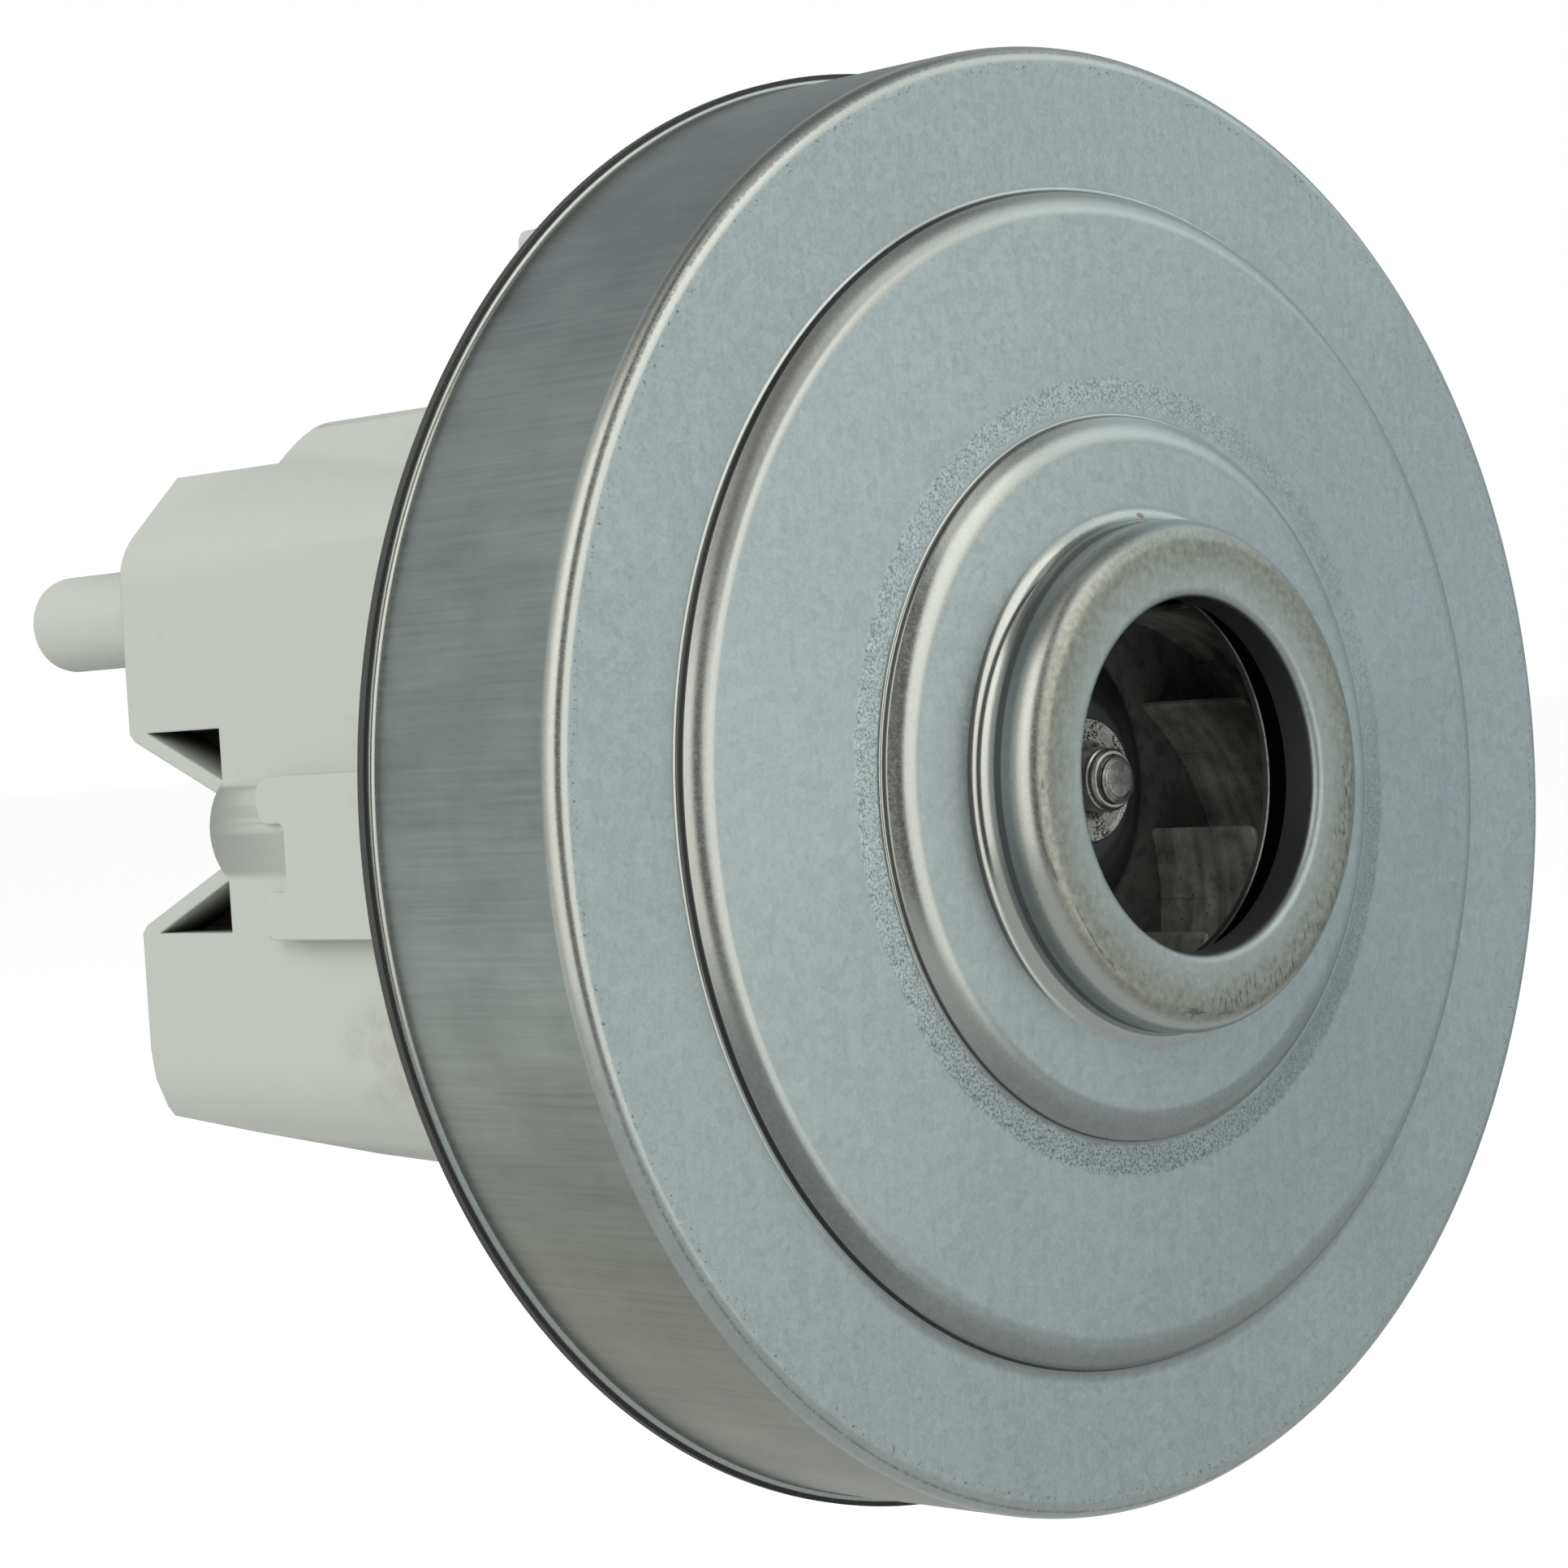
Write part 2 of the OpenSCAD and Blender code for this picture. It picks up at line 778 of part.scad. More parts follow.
module stator_core() color([0.45, 0.46, 0.48]) {
    r = core_corner_r;
    axial() translate([0, 0, core_start]) linear_extrude(height = core_len) difference() {
        polygon(rounded_loop(
            [[core_w, -core_h], [core_w, core_h], [-core_w, core_h], [-core_w, -core_h]],
            [r, r, r, r], 6
        ));
        circle(r = pole_bore_r);
        for (x = [0, 1], y = [0, 1]) mirror([x, 0]) mirror([0, y]) winding_window();
        for (x = [-1, 1], y = [-1, 1]) translate([x * post_x, y * post_z]) circle(r = screw_r + run_fit);
    }
}

// A field coil's loop round its pole, drawn as (distance, up) and pulled along the pole
module field_coil() {
    outer = rounded_loop(
        [
            [core_start - coil_head, -coil_out_h],
            [core_end + coil_head, -coil_out_h],
            [core_end + coil_head, coil_out_h],
            [core_start - coil_head, coil_out_h]
        ],
        [coil_corner_r, coil_corner_r, coil_corner_r, coil_corner_r], 5
    );
    translate([window_x, 0, 0]) rotate([0, -90, 0])
        linear_extrude(height = window_x - coil_in_x) difference() {
            polygon(outer);
            translate([core_start, -pole_h]) square([core_len, 2 * pole_h]);
        }
}

module field_coil_left() color([0.62, 0.3, 0.14]) axial() mirror([1, 0, 0]) field_coil();

module field_coil_right() color([0.62, 0.3, 0.14]) axial() field_coil();

module armature_core() color([0.42, 0.43, 0.45]) {
    axial() translate([0, 0, core_start]) linear_extrude(height = core_len) difference() {
        circle(r = armature_r);
        circle(r = shaft_r);
        for (i = [0:slot_count - 1]) rotate(i * 360 / slot_count) {
            translate([slot_in_r, -slot_w / 2]) square([slot_out_r - slot_in_r, slot_w]);
            translate([slot_out_r - through, -slot_neck_w / 2]) square([armature_r, slot_neck_w]);
        }
    }
}

module winding_head_section() {
    polygon(rounded_loop(
        [[winding_in_r, 0], [winding_r, 0], [winding_r, winding_head], [winding_in_r, winding_head]],
        [0, 0, winding_corner_r, winding_corner_r], 4
    ));
}

module armature_winding() color([0.66, 0.33, 0.15]) {
    axial() {
        translate([0, 0, core_end]) rotate_extrude() winding_head_section();
        translate([0, 0, core_start]) mirror([0, 0, 1]) rotate_extrude() winding_head_section();
        for (i = [0:slot_count - 1]) rotate([0, 0, i * 360 / slot_count])
            block([slot_in_r + liner, liner - slot_w / 2, core_start - through],
                [winding_r - liner, slot_w / 2 - liner, core_end + through]);
    }
}

module commutator_hub() color([0.2, 0.12, 0.08]) {
    ring(shaft_r, hub_core_r, commutator_start, commutator_end);
}

module commutator_bars() color([0.72, 0.42, 0.25]) {
    axial() difference() {
        rotate_extrude() polygon([
            [bar_in_r, commutator_start],
            [riser_r, commutator_start],
            [riser_r, riser_end],
            [commutator_r, riser_end],
            [commutator_r, commutator_end],
            [bar_in_r, commutator_end]
        ]);
        for (i = [0:bar_count - 1]) rotate([0, 0, (i + 0.5) * 360 / bar_count])
            block([bar_in_r - through, -bar_slit / 2, commutator_start - through],
                [riser_r + through, bar_slit / 2, commutator_end + through]);
    }
}

module carbon_brush() {
    axial() difference() {
        block([-brush_w / 2, commutator_r - 2, brush_mid - brush_t / 2],
            [brush_w / 2, brush_top, brush_mid + brush_t / 2]);
        translate([0, 0, brush_mid - brush_t]) cylinder(r = brush_foot, h = 2 * brush_t);
    }
}

module carbon_brush_upper() color([0.16, 0.16, 0.17]) carbon_brush();

module carbon_brush_lower() color([0.16, 0.16, 0.17]) mirror([0, 0, 1]) carbon_brush();

module brush_holder() {
    x = brush_w / 2 + brush_fit;
    y = brush_t / 2 + brush_fit;
    axial() difference() {
        block([-x - holder_wall, holder_foot, brush_mid - y - holder_wall],
            [x + holder_wall, holder_top, brush_mid + y + holder_wall]);
        block([-x, holder_foot - through, brush_mid - y], [x, holder_top + through, brush_mid + y]);
    }
}

module brush_holder_upper() color([0.75, 0.6, 0.3]) brush_holder();

module brush_holder_lower() color([0.75, 0.6, 0.3]) mirror([0, 0, 1]) brush_holder();

module brush_cap() {
    x = brush_w / 2 + brush_fit + holder_wall;
    y = brush_t / 2 + brush_fit + holder_wall;
    axial() block([-x, holder_top, brush_mid - y], [x, holder_top + cap_t, brush_mid + y]);
}

module brush_cap_upper() color([0.78, 0.64, 0.34]) brush_cap();

module brush_cap_lower() color([0.78, 0.64, 0.34]) mirror([0, 0, 1]) brush_cap();

module brush_spring() {
    translate([0, bore_mid + brush_mid, brush_top]) difference() {
        cylinder(r = spring_r, h = holder_top - brush_top);
        translate([0, 0, -through]) cylinder(r = spring_bore_r, h = holder_top - brush_top + 2 * through);
    }
}

module brush_spring_upper() color([0.8, 0.8, 0.82]) brush_spring();

module brush_spring_lower() color([0.8, 0.8, 0.82]) mirror([0, 0, 1]) brush_spring();

module rear_bearing_bracket() color([0.7, 0.71, 0.72]) {
    axial() difference() {
        union() {
            block([-strip_w / 2, -strip_h, housing_end], [strip_w / 2, strip_h, housing_end + strip_t]);
            translate([0, 0, cup_floor]) cylinder(r = bracket_cup_r, h = housing_end + strip_t - cup_floor);
        }
        translate([0, 0, cup_floor + strip_t]) cylinder(r = bush_r, h = housing_end);
        translate([0, 0, cup_floor - through]) cylinder(r = cup_hole_r, h = 2 * strip_t + through);
        over_and_under() translate([0, bracket_screw_z, housing_end - through])
            cylinder(r = bracket_screw_r + run_fit, h = strip_t + 2 * through);
    }
}

module bracket_screws() color([0.74, 0.75, 0.76]) {
    top = housing_end + strip_t;
    axial() over_and_under() translate([0, bracket_screw_z, 0]) rotate_extrude() polygon([
        [0, top + bracket_head_t],
        [bracket_head_r - 0.8, top + bracket_head_t],
        [bracket_head_r, top + bracket_head_t - 0.8],
        [bracket_head_r, top],
        [bracket_screw_r, top],
        [bracket_screw_r, housing_end - bracket_screw_len + 1.6],
        [0, housing_end - bracket_screw_len + 0.6]
    ]);
}

module rear_bearing_bush() color([0.12, 0.12, 0.12]) {
    turned() polygon([
        [rear_bearing_r - 1.5, cup_floor + strip_t],
        [bush_r, cup_floor + strip_t],
        [bush_r, rear_bearing_end + 0.6],
        [rear_bearing_r, rear_bearing_end + 0.6],
        [rear_bearing_r, rear_bearing_start],
        [rear_bearing_r - 1.5, rear_bearing_start]
    ]);
}

module terminal_tabs() color([0.78, 0.64, 0.34]) {
    axial() both_sides() difference() {
        block([tab_x - tab_w / 2, tab_z - tab_t / 2, housing_end - wall - tab_in],
            [tab_x + tab_w / 2, tab_z + tab_t / 2, housing_end + tab_out]);
        translate([tab_x, tab_z - tab_t, housing_end + tab_out - tab_w / 2]) rotate([-90, 0, 0])
            cylinder(r = tab_hole_r, h = 2 * tab_t);
    }
}

// Ball bearing pieces: bore, outside radius, start, width, pitch radius and ball radius
module bearing_inner(bore, start, width, pitch, ball) {
    turned() difference() {
        translate([bore, start]) square([pitch - ball * 0.75 - bore, width]);
        translate([pitch, start + width / 2]) circle(r = ball + run_fit);
    }
}

module bearing_outer(outer, start, width, pitch, ball) {
    turned() difference() {
        translate([pitch + ball * 0.75, start]) square([outer - pitch - ball * 0.75, width]);
        translate([pitch, start + width / 2]) circle(r = ball + run_fit);
    }
}

module bearing_balls(start, width, pitch, ball) {
    axial() for (i = [0:ball_count - 1]) rotate([0, 0, i * 360 / ball_count])
        translate([pitch, 0, start + width / 2]) sphere(r = ball);
}

module bearing_cage(start, width, pitch, ball) {
    axial() difference() {
        translate([0, 0, start + width / 2 + ball * 0.3]) difference() {
            cylinder(r = pitch + ball * 0.4, h = ball);
            translate([0, 0, -through]) cylinder(r = pitch - ball * 0.4, h = ball + 2 * through);
        }
        for (i = [0:ball_count - 1]) rotate([0, 0, i * 360 / ball_count])
            translate([pitch, 0, start + width / 2]) sphere(r = ball);
    }
}

module bearing_shields(start, width, pitch, ball) {
    inner = pitch - ball * 0.75 + loose_fit;
    outer = pitch + ball * 0.75;
    ring(inner, outer, start + shield_inset, start + shield_inset + shield_sheet);
    ring(inner, outer, start + width - shield_inset - shield_sheet, start + width - shield_inset);
}

module front_bearing_outer_ring() color([0.8, 0.81, 0.82])
    bearing_outer(front_bearing_r, front_bearing_start, front_bearing_w, front_pitch_r, front_ball_r);

module front_bearing_inner_ring() color([0.8, 0.81, 0.82])
    bearing_inner(shaft_r, front_bearing_start, front_bearing_w, front_pitch_r, front_ball_r);

module front_bearing_balls() color([0.85, 0.86, 0.87])
    bearing_balls(front_bearing_start, front_bearing_w, front_pitch_r, front_ball_r);

module front_bearing_cage() color([0.7, 0.65, 0.5])
    bearing_cage(front_bearing_start, front_bearing_w, front_pitch_r, front_ball_r);

module front_bearing_shields() color([0.7, 0.71, 0.72])
    bearing_shields(front_bearing_start, front_bearing_w, front_pitch_r, front_ball_r);

module rear_bearing_outer_ring() color([0.8, 0.81, 0.82])
    bearing_outer(rear_bearing_r, rear_bearing_start, rear_bearing_w, rear_pitch_r, rear_ball_r);

module rear_bearing_inner_ring() color([0.8, 0.81, 0.82])
    bearing_inner(rear_journal_r, rear_bearing_start, rear_bearing_w, rear_pitch_r, rear_ball_r);

module rear_bearing_balls() color([0.85, 0.86, 0.87])
    bearing_balls(rear_bearing_start, rear_bearing_w, rear_pitch_r, rear_ball_r);

module rear_bearing_cage() color([0.7, 0.65, 0.5])
    bearing_cage(rear_bearing_start, rear_bearing_w, rear_pitch_r, rear_ball_r);

module rear_bearing_shields() color([0.7, 0.71, 0.72])
    bearing_shields(rear_bearing_start, rear_bearing_w, rear_pitch_r, rear_ball_r);

fan_cover();
diffuser();
motor_housing();
front_end_shield();
motor_screws();
stator_core();
field_coil_left();
field_coil_right();
brush_holder_upper();
brush_holder_lower();
brush_cap_upper();
brush_cap_lower();
carbon_brush_upper();
carbon_brush_lower();
brush_spring_upper();
brush_spring_lower();
rear_bearing_bracket();
bracket_screws();
rear_bearing_bush();
terminal_tabs();
shaft();
impeller_nut();
clamp_washer();
impeller_back_plate();
impeller_vanes();
impeller_shroud();
impeller_spacer();
armature_core();
armature_winding();
commutator_hub();
commutator_bars();
front_bearing_outer_ring();
front_bearing_inner_ring();
front_bearing_balls();
front_bearing_cage();
front_bearing_shields();
rear_bearing_outer_ring();
rear_bearing_inner_ring();
rear_bearing_balls();
rear_bearing_cage();
rear_bearing_shields();
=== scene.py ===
"""Looks of the vacuum motor unit: pressed cover, impeller, motor housing, fixings and the studio round them.

Lengths in the classes are millimetres. A depth is the distance behind the cover's front sheet, along the
shaft, and lies at y = depth + BORE_MID in the row's frame.
"""

import logging
import math
from dataclasses import dataclass
from enum import Enum
from typing import Any, Sequence

import bmesh
import bpy
import numpy as np
from mathutils import Matrix, Vector


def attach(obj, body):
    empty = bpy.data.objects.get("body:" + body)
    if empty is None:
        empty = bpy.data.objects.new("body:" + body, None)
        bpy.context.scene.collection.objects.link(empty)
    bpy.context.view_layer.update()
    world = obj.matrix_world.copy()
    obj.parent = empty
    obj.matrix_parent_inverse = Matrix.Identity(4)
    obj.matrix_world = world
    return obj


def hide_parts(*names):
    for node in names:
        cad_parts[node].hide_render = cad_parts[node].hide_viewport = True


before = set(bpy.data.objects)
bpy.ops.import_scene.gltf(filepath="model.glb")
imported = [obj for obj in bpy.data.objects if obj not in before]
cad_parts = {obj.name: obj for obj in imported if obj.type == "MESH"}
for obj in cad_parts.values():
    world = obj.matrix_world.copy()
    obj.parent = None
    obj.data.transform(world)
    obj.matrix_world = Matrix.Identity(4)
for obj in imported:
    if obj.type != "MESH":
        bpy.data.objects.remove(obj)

log = logging.getLogger("motor_unit")
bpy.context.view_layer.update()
BORE_MID = 9.075
MM = 0.001

Colour = tuple[float, float, float]
Place = tuple[float, float, float]
Node = bpy.types.Node
Socket = bpy.types.NodeSocket
Material = bpy.types.Material
Object = bpy.types.Object


class Body(Enum):
    """The bodies that the scene's own pieces ride on."""

    FRAME = "motor_frame"
    ROTOR = "rotor"


class Signal:
    """One number that varies over a surface: a socket that can be used in sums."""

    def __init__(self, graph: "Graph", socket: Socket) -> None:
        """Keeps the socket and the graph it belongs to."""
        self.graph = graph
        self.socket = socket

    def _with(self, operation: str, *others: Any) -> "Signal":
        """A Math node on this value and others."""
        return self.graph.maths(operation, self, *others)

    def __add__(self, other: Any) -> "Signal":
        """Sum."""
        return self._with("ADD", other)

    __radd__ = __add__

    def __sub__(self, other: Any) -> "Signal":
        """Difference."""
        return self._with("SUBTRACT", other)

    def __rsub__(self, other: Any) -> "Signal":
        """A number less this value."""
        return self.graph.maths("SUBTRACT", other, self)

    def __mul__(self, other: Any) -> "Signal":
        """Product."""
        return self._with("MULTIPLY", other)

    __rmul__ = __mul__

    def __truediv__(self, other: Any) -> "Signal":
        """Quotient."""
        return self._with("DIVIDE", other)

    def __pow__(self, other: Any) -> "Signal":
        """Power."""
        return self._with("POWER", other)

    def __abs__(self) -> "Signal":
        """Size without its sign."""
        return self._with("ABSOLUTE")

    def maximum(self, other: Any) -> "Signal":
        """The greater of two values."""
        return self._with("MAXIMUM", other)

    def minimum(self, other: Any) -> "Signal":
        """The lesser of two values."""
        return self._with("MINIMUM", other)

    def squared(self) -> "Signal":
        """The value times itself."""
        return self * self

    def swing(self, size: float) -> "Signal":
        """A noise about 0.5 turned into one about 0, and scaled."""
        return (self - 0.5) * size

    def clamped(self) -> "Signal":
        """The value kept between 0 and 1."""
        return self.maximum(0.0).minimum(1.0)

    def step(self, low: float, high: float) -> "Signal":
        """A smooth rise from 0 at low to 1 at high.

        Args:
            low: Value at which the rise starts.
            high: Value at which it ends; lower than low for a fall.

        Returns:
            The risen value.
        """
        if low > high:
            return 1.0 - self.step(high, low)
        made = self.graph.node(
            "ShaderNodeMapRange",
            {"interpolation_type": "SMOOTHSTEP"},
            {"Value": self, "From Min": low, "From Max": high},
        )
        return Signal(self.graph, made.outputs[0])

    def band(self, low: float, high: float, soft: float) -> "Signal":
        """1 between low and high, with edges of a given softness, and 0 outside."""
        return self.step(low - soft, low + soft) * self.step(high + soft, high - soft)


class Graph:
    """A node tree, with the place that it is read at as signals."""

    def __init__(self, tree: bpy.types.NodeTree, source: str = "Object", scale: float = 1000.0) -> None:
        """Clears the tree and reads a coordinate, which is the object's own in millimetres unless told."""
        self.tree = tree
        self.tree.nodes.clear()
        place = self.node("ShaderNodeTexCoord").outputs[source]
        scaled = self.node("ShaderNodeVectorMath", {"operation": "SCALE"}, {"Vector": place, "Scale": scale})
        self.place = scaled.outputs["Vector"]
        parts = self.node("ShaderNodeSeparateXYZ", {}, {"Vector": self.place}).outputs
        self.x, self.y, self.z = (Signal(self, parts[axis]) for axis in "XYZ")
        self.depth = self.y - BORE_MID
        self.radius = (self.x.squared() + self.z.squared()) ** 0.5
        self.angle = self.maths("ARCTAN2", self.z, self.x)

    def node(
        self, kind: str, settings: dict[str, Any] | None = None, inputs: dict[str, Any] | None = None
    ) -> Node:
        """Adds a node.

        Args:
            kind: Blender's name of the node's type.
            settings: Properties, set first; "stops" holds a ramp's positions and colours.
            inputs: Values, sockets or signals by the input's identifier or name.

        Returns:
            The node.
        """
        made = self.tree.nodes.new(kind)
        for key, value in (settings or {}).items():
            if key == "stops":
                elements = made.color_ramp.elements
                for index, (position, colour) in enumerate(value):
                    element = elements[index] if index < 2 else elements.new(position)
                    element.position = position
                    element.color = (*colour, 1.0)
            else:
                setattr(made, key, value)
        for key, value in (inputs or {}).items():
            self.feed(self.input_of(made, key), value)
        return made

    @staticmethod
    def input_of(made: Node, key: Any) -> Socket:
        """An input by its number, identifier or name."""
        if isinstance(key, int):
            return made.inputs[key]
        named = [s for s in made.inputs if s.identifier == key] + [s for s in made.inputs if s.name == key]
        return named[0]

    def feed(self, socket: Socket, value: Any) -> None:
        """Links a socket or signal to an input, or sets the input to a number or colour."""
        if isinstance(value, Signal):
            value = value.socket
        if isinstance(value, Socket):
            self.tree.links.new(value, socket)
        elif isinstance(value, tuple) and socket.type == "RGBA":
            socket.default_value = (*value, 1.0)
        else:
            socket.default_value = value

    def maths(self, operation: str, *values: Any) -> Signal:
        """A Math node on up to three values."""
        made = self.node("ShaderNodeMath", {"operation": operation})
        for socket, value in zip(made.inputs, values):
            self.feed(socket, value)
        return Signal(self, made.outputs[0])

    def vector(self, x: Any, y: Any, z: Any) -> Socket:
        """A vector from three values."""
        return self.node("ShaderNodeCombineXYZ", {}, {"X": x, "Y": y, "Z": z}).outputs[0]

    def noise(self, scale: float, detail: float = 2.0, rough: float = 0.5, at: Any = None) -> Signal:
        """Cloudy noise about 0.5, with features of 1 / scale millimetres."""
        inputs = {"Vector": at or self.place, "Scale": scale, "Detail": detail, "Roughness": rough}
        return Signal(self, self.node("ShaderNodeTexNoise", {}, inputs).outputs[0])

    def cell_tone(self, scale: float) -> Signal:
        """A random number for each cell of 1 / scale millimetres."""
        cells = self.node("ShaderNodeTexVoronoi", {}, {"Vector": self.place, "Scale": scale})
        parts = self.node("ShaderNodeSeparateColor", {}, {"Color": cells.outputs["Color"]})
        return Signal(self, parts.outputs[0])

    def blend(self, first: Any, second: Any, share: Any) -> Socket:
        """Mixes two colours by a share of the second."""
        made = self.node(
            "ShaderNodeMix",
            {"data_type": "RGBA", "clamp_factor": True},
            {"Factor_Float": share, "A_Color": first, "B_Color": second},
        )
        return next(s for s in made.outputs if s.identifier == "Result_Color")

    def toned(self, colour: Any, tone: Signal) -> Socket:
        """A colour made lighter or darker by a factor about 1."""
        inputs = {0: colour, "Scale": tone}
        return self.node("ShaderNodeVectorMath", {"operation": "SCALE"}, inputs).outputs[0]

    def ray_is(self, kind: str) -> Signal:
        """1 for rays of a kind that the Light Path node names, such as Camera."""
        return Signal(self, self.node("ShaderNodeLightPath").outputs[f"Is {kind} Ray"])


class Surface(Graph):
    """The node tree of one material of the object."""

    def __init__(self, name: str) -> None:
        """Starts an empty material of that name."""
        self.material = bpy.data.materials.new(name)
        self.material.use_nodes = True
        super().__init__(self.material.node_tree)

    def zone(self, inner: float, outer: float, front: float, back: float, soft: float = 0.15) -> Signal:
        """1 on a ring about the shaft, between two radii and two depths in millimetres."""
        return self.radius.band(inner, outer, soft) * self.depth.band(front, back, soft)

    def rounded_edges(self, width: float) -> Socket:
        """The normal with sharp edges softened over a width in millimetres."""
        return self.node("ShaderNodeBevel", {"samples": 6}, {"Radius": width * MM}).outputs[0]

    def principled(
        self,
        colour: Any,
        rough: Any,
        metal: Any = 0.0,
        height: Signal | None = None,
        depth: float = 0.02,
        normal: Any = None,
        **constants: Any,
    ) -> Socket:
        """A principled surface.

        Args:
            colour: Base colour, a socket or three numbers.
            rough: Roughness, a signal or a number.
            metal: Metallic, a signal or a number.
            height: Relief from 0 to 1, or nothing.
            depth: Depth of that relief in millimetres.
            normal: A normal that the relief starts from.
            constants: Other inputs, with underscores for spaces, the same all over.

        Returns:
            The shader's output.
        """
        inputs: dict[str, Any] = {"Base Color": colour, "Roughness": rough, "Metallic": metal}
        if height is not None:
            relief = {"Height": height, "Strength": 1.0, "Distance": depth * MM}
            if normal is not None:
                relief["Normal"] = normal
            inputs["Normal"] = self.node("ShaderNodeBump", {}, relief).outputs[0]
        elif normal is not None:
            inputs["Normal"] = normal
        inputs.update({key.replace("_", " "): value for key, value in constants.items()})
        return self.node("ShaderNodeBsdfPrincipled", {}, inputs).outputs[0]

    def close(self, shader: Socket) -> Material:
        """Ends the material with a shader."""
        self.node("ShaderNodeOutputMaterial", {}, {"Surface": shader})
        return self.material

    def finish(self, *values: Any, **named: Any) -> Material:
        """Ends the material with a principled surface of the given values."""
        return self.close(self.principled(*values, **named))


@dataclass(frozen=True)
class MouldedPlastic:
    """Moulded plastic with a fine spark-eroded grain and softly rounded edges."""

    colour: Colour
    shade: float = 0.05
    rough: float = 0.48
    grain: float = 2.6
    relief: float = 0.012
    edge: float = 0.5
    smudge: Colour = (0.42, 0.42, 0.38)

    def material(self, name: str) -> Material:
        """Cloudy tone, faint handling marks and grain."""
        g = Surface(name)
        fine = g.noise(self.grain, 2.0, 0.6)
        tone = 1.0 + g.noise(0.045, 3.0).swing(2.0 * self.shade) + fine.swing(self.shade)
        marks = g.noise(0.12, 4.0, 0.62).step(0.63, 0.76) * 0.25
        colour = g.blend(g.toned(self.colour, tone), self.smudge, marks)
        rough = self.rough + g.noise(0.5, 3.0).swing(0.16) + marks * 0.2
        edges = g.rounded_edges(self.edge)
        return g.finish(colour, rough, 0.0, fine, self.relief, edges, Specular_IOR_Level=0.45)


@dataclass(frozen=True)
class Metal:
    """Plain machined, cast, plated or drawn metal."""

    colour: Colour
    rough: float = 0.34
    metal: float = 0.9
    mottle: float = 0.8
    tone: float = 0.12
    relief: float = 0.006
    grain_axis: Place = (1.0, 1.0, 1.0)
    edge: float = 0.15
    dirt_and_shade: float = 0.0

    def material(self, name: str) -> Material:
        """Mottled tone, grain along an axis and a share of grime."""
        g = Surface(name)
        inputs = {0: g.place, 1: self.grain_axis}
        stretched = g.node("ShaderNodeVectorMath", {"operation": "MULTIPLY"}, inputs)
        grain = g.noise(self.mottle * 3.0, 3.0, 0.6, stretched.outputs[0])
        cloud = g.noise(self.mottle * 0.3, 3.0)
        tone = 1.0 + cloud.swing(1.6 * self.tone) + grain.swing(1.4 * self.tone)
        colour = g.toned(self.colour, tone)
        rough = self.rough + cloud.swing(0.2) + grain.swing(0.15)
        metal: Any = self.metal
        if self.dirt_and_shade > 0.0:
            grime_and_shade = g.noise(0.6, 5.0, 0.7).step(0.62 - 0.3 * self.dirt_and_shade, 0.72) * self.dirt_and_shade
            colour = g.blend(colour, (0.03, 0.028, 0.025), grime_and_shade)
            rough = rough + grime_and_shade * 0.35
            metal = self.metal - grime_and_shade * self.metal
        return g.finish(colour, rough, metal, grain, self.relief, g.rounded_edges(self.edge))


@dataclass(frozen=True)
class Laminations:
    """A stack of thin punched sheets, seen as fine lines across the shaft."""

    colour: Colour = (0.16, 0.165, 0.175)
    pitch: float = 0.5

    def material(self, name: str) -> Material:
        """Lines at each sheet's edge, uneven tone from sheet to sheet and a little rust."""
        g = Surface(name)
        wave = g.maths("SINE", g.y * (2.0 * math.pi / self.pitch))
        lines = (wave * 0.5 + 0.5) ** 3.0
        sheet = g.noise(2.0, 0.0, 0.5, g.vector(0.0, g.y, 0.0))
        rust = g.noise(0.3, 5.0, 0.7).step(0.6, 0.75)
        tone = 1.0 + sheet.swing(0.8) - lines * 0.35
        colour = g.blend(g.toned(self.colour, tone), (0.16, 0.07, 0.03), rust * 0.5)
        return g.finish(colour, 0.45 + rust * 0.3, 0.75 - rust * 0.6, 1.0 - lines, 0.05)


@dataclass(frozen=True)
class WoundCopper:
    """Enamelled copper wire laid side by side."""

    colour: Colour = (0.50, 0.17, 0.055)
    wire: float = 0.7

    def material(self, name: str) -> Material:
        """Rows of round wires with dark gaps and a glossy enamel."""
        g = Surface(name)
        lean = g.noise(0.15, 1.0) * 1.5
        rows = abs(g.maths("SINE", (g.radius + lean) * (math.pi / self.wire)))
        along = abs(g.maths("SINE", (g.z + lean) * (math.pi / self.wire)))
        wires = (rows * 0.5 + along * 0.5) ** 0.6
        colour = g.toned(self.colour, 0.55 + wires * 0.6)
        return g.finish(colour, 0.32 + (1.0 - wires) * 0.3, 0.55, wires, 0.2, Coat_Weight=0.3)


@dataclass(frozen=True)
class SoftBlack:
    """Rubber, carbon or resin: dark, nearly matt, with a faint bloom."""

    colour: Colour = (0.02, 0.02, 0.021)
    bloom: Colour = (0.07, 0.07, 0.068)
    rough: float = 0.62
    grain: float = 3.0

    def material(self, name: str) -> Material:
        """A dusty bloom over a fine grain."""
        g = Surface(name)
        dust = g.noise(0.35, 4.0, 0.65).step(0.42, 0.72)
        fine = g.noise(self.grain, 3.0, 0.6)
        colour = g.blend(self.colour, self.bloom, dust * 0.7)
        return g.finish(colour, self.rough + fine.swing(0.2), 0.0, fine, 0.02, g.rounded_edges(0.2))


